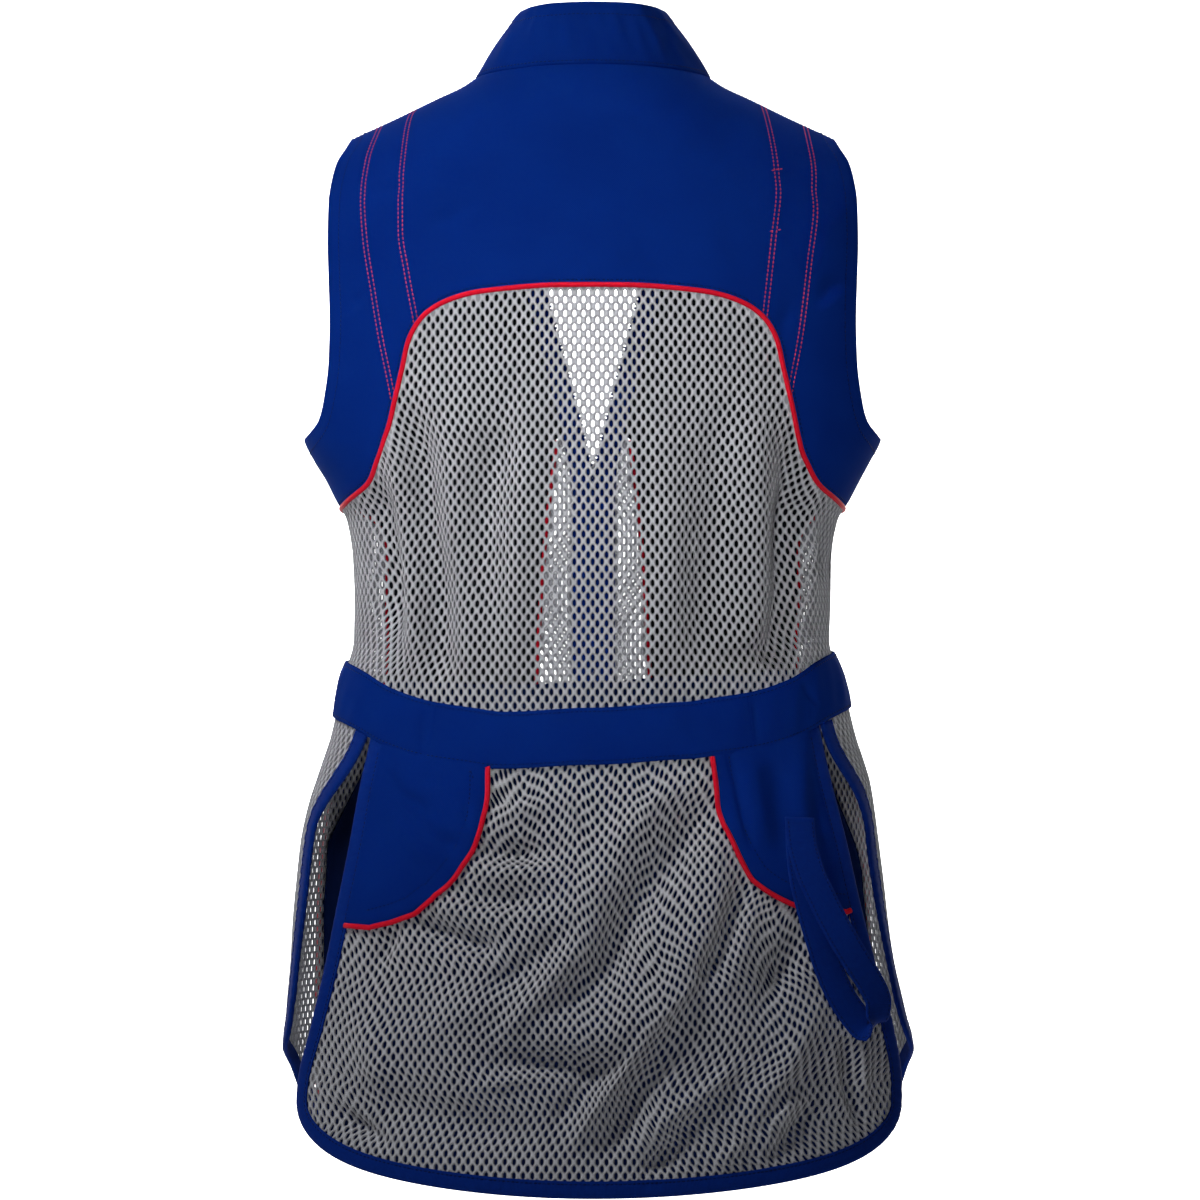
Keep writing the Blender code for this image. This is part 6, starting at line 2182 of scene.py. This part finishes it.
def yoke_rows():
    lines = []
    for side in (-1, 1):
        armhole = armhole_path(ARMHOLE_BACK, side, False, steps(ARMHOLE_POINTS))
        shoulder = shoulder_path(side, False, SHOULDER_POINTS)
        lines.append(on_yoke(beside(armhole, side * ARMHOLE_ROW, body)))
        lines.append(on_cloth(beside(shoulder, side * SHOULDER_ROW, body), body))
    lines.append(on_yoke(beside(yoke_line, -SEAM_ROW, body)[ROW_SHORT:-ROW_SHORT]))
    return lines


red_stitches = sew("stitches_yoke_red", red_rows(), red_thread)
yoke_stitches = sew("stitches_yoke", yoke_rows(), blue_thread)
print("yoke stitches:", [len(made.data.polygons) // STITCH_FACES for made in (red_stitches, yoke_stitches)])

# %% Stitches of the collar, band, patches, strap and bindings
# One row under the collar's top strip and one close to its seam; two along a band or a placket
COLLAR_ROWS = (int((1 - COLLAR_STRIP) * COLLAR_LEVELS) + 1, -2)
EDGE_ROWS = (1, -2)
BINDING_ROW = 2 * MM
BINDING_RISE = 0.8 * MM
# Rows of the strap, in shares of its half width, and how deep they lie, in shares of its thickness
STRAP_ROWS = (-0.8, 0.8)
STRAP_SINK = 0.42
NEAR_POINTS = 4
# Keeps the weight of a point that lies on the guide within bounds
NEAR_SOFT = 0.2 * MM
HIP_FACING = 11.5 * MM


def grid_lines(name, rows=(), columns=()):
    """Rows and columns of a panel's outer face, as lines to sew along."""
    points, normals = outer_faces[name]
    lines = [(points[row], normals[row]) for row in rows]
    return lines + [(points[:, column], normals[:, column]) for column in columns]


def on_panel(name, path):
    """The points of a panel's outer face that lie under a path, with their normals."""
    points, normals = (part.reshape(-1, 3) for part in outer_faces[name])
    guide = plain_body(path[:, 0], path[:, 1])
    far = np.linalg.norm(points[None] - guide[:, None], axis=-1)
    near = np.argsort(far, axis=1)[:, :NEAR_POINTS]
    weight = 1 / (np.take_along_axis(far, near, 1) + NEAR_SOFT) ** 2
    weight = (weight / weight.sum(1, keepdims=True))[..., None]
    normal = (normals[near] * weight).sum(1)
    height = ((points[near] - guide[:, None]) * normal[:, None]).sum(-1, keepdims=True)
    return guide + normal * (height * weight).sum(1), normal


def hip_rows(side, name, seam):
    inside = beside(seam, -side * HIP_FACING, body)
    return [on_panel(f"patch_hip_{name}", inside[1:-1])]


def binding_row(edge, side, place):
    """One row along the inner edge of a binding, on top of it."""
    inside = beside(edge, side * (BINDING_WIDTH - BINDING_ROW), place)
    return [on_cloth(inside[2:-2], place, BINDING_RISE)]


def strap_rows():
    route, width, facing = towel_loop_route()
    lines = []
    for share in STRAP_ROWS:
        for face in (-1, 1):
            line = route + width * share * LOOP_WIDTH / 2 + face * facing * LOOP_WALL * STRAP_SINK
            lines.append((line[2:-2], face * facing[2:-2]))
    return lines


sew("stitches_collar", grid_lines("collar_stand", COLLAR_ROWS), blue_thread)
for name in bands:
    sew(f"stitches_band_{name}", grid_lines(f"band_{name}", EDGE_ROWS), blue_thread)
for name, side in SIDES.items():
    sew(f"stitches_hip_{name}", hip_rows(side, name, hip_patches[name][1]), blue_thread)
sew("stitches_strap", strap_rows(), blue_thread)
sew("stitches_binding", binding_row(back_edge, 1, body), blue_thread)

# %% Stitches of the fronts
for name, side in SIDES.items():
    armhole = armhole_path(ARMHOLE_FRONT, side, True, steps(90))
    sew(f"stitches_front_{name}", [on_cloth(beside(armhole, -side * ARMHOLE_ROW, body), body)],
        blue_thread)
    sew(f"stitches_placket_{name}", grid_lines(f"placket_cloth_{name}", EDGE_ROWS), blue_thread)
    sew(f"stitches_pocket_{name}", grid_lines(f"pocket_{name}", (2,), (-2,))
        + grid_lines(f"pocket_{name}", (-2,)), blue_thread)
    sew(f"stitches_flap_{name}", binding_row(flap_edges[name], side, flap), blue_thread)

# %% [markdown]
# ## The zip
# The teeth are moulded blocks, one row on each tape, and the rows mesh below the slider. The slider
# holds them between two plates. Its pull tab is a thin plate with a window, and it swings on a pin
# between two ears. Both are the imported solids, given a metal finish.

# %% Teeth
tooth_tree = row_tree("Row of teeth", "block")
TEETH = {"Pitch": 2.6 * MM, "Length": 1.25 * MM, "Width": 3.4 * MM, "Height": 2.2 * MM}
TOOTH_REACH = 0.2 * MM


def make_teeth(side, name):
    path = edge_path(side, ZIP_TAPE[0] + TOOTH_REACH)
    point, normal = on_cloth(path, front_sheet, -TAPE_DEPTH - WALL / 2)
    if side < 0:
        point = point + np.array([0, 0, TEETH["Pitch"] / 2])
    made = line_object(f"teeth_{name}", [(point, normal)])
    run_tree(made, tooth_tree, TEETH, moulded_blue)
    return dress(made)


teeth = each_side(make_teeth)
print("teeth:", [len(made.data.polygons) // 6 for made in teeth.values()])

# %% Slider and pull tab
for node_name in ("zip_slider", "pull_tab"):
    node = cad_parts[node_name]
    node.data.materials.clear()
    node.data.materials.append(metal)
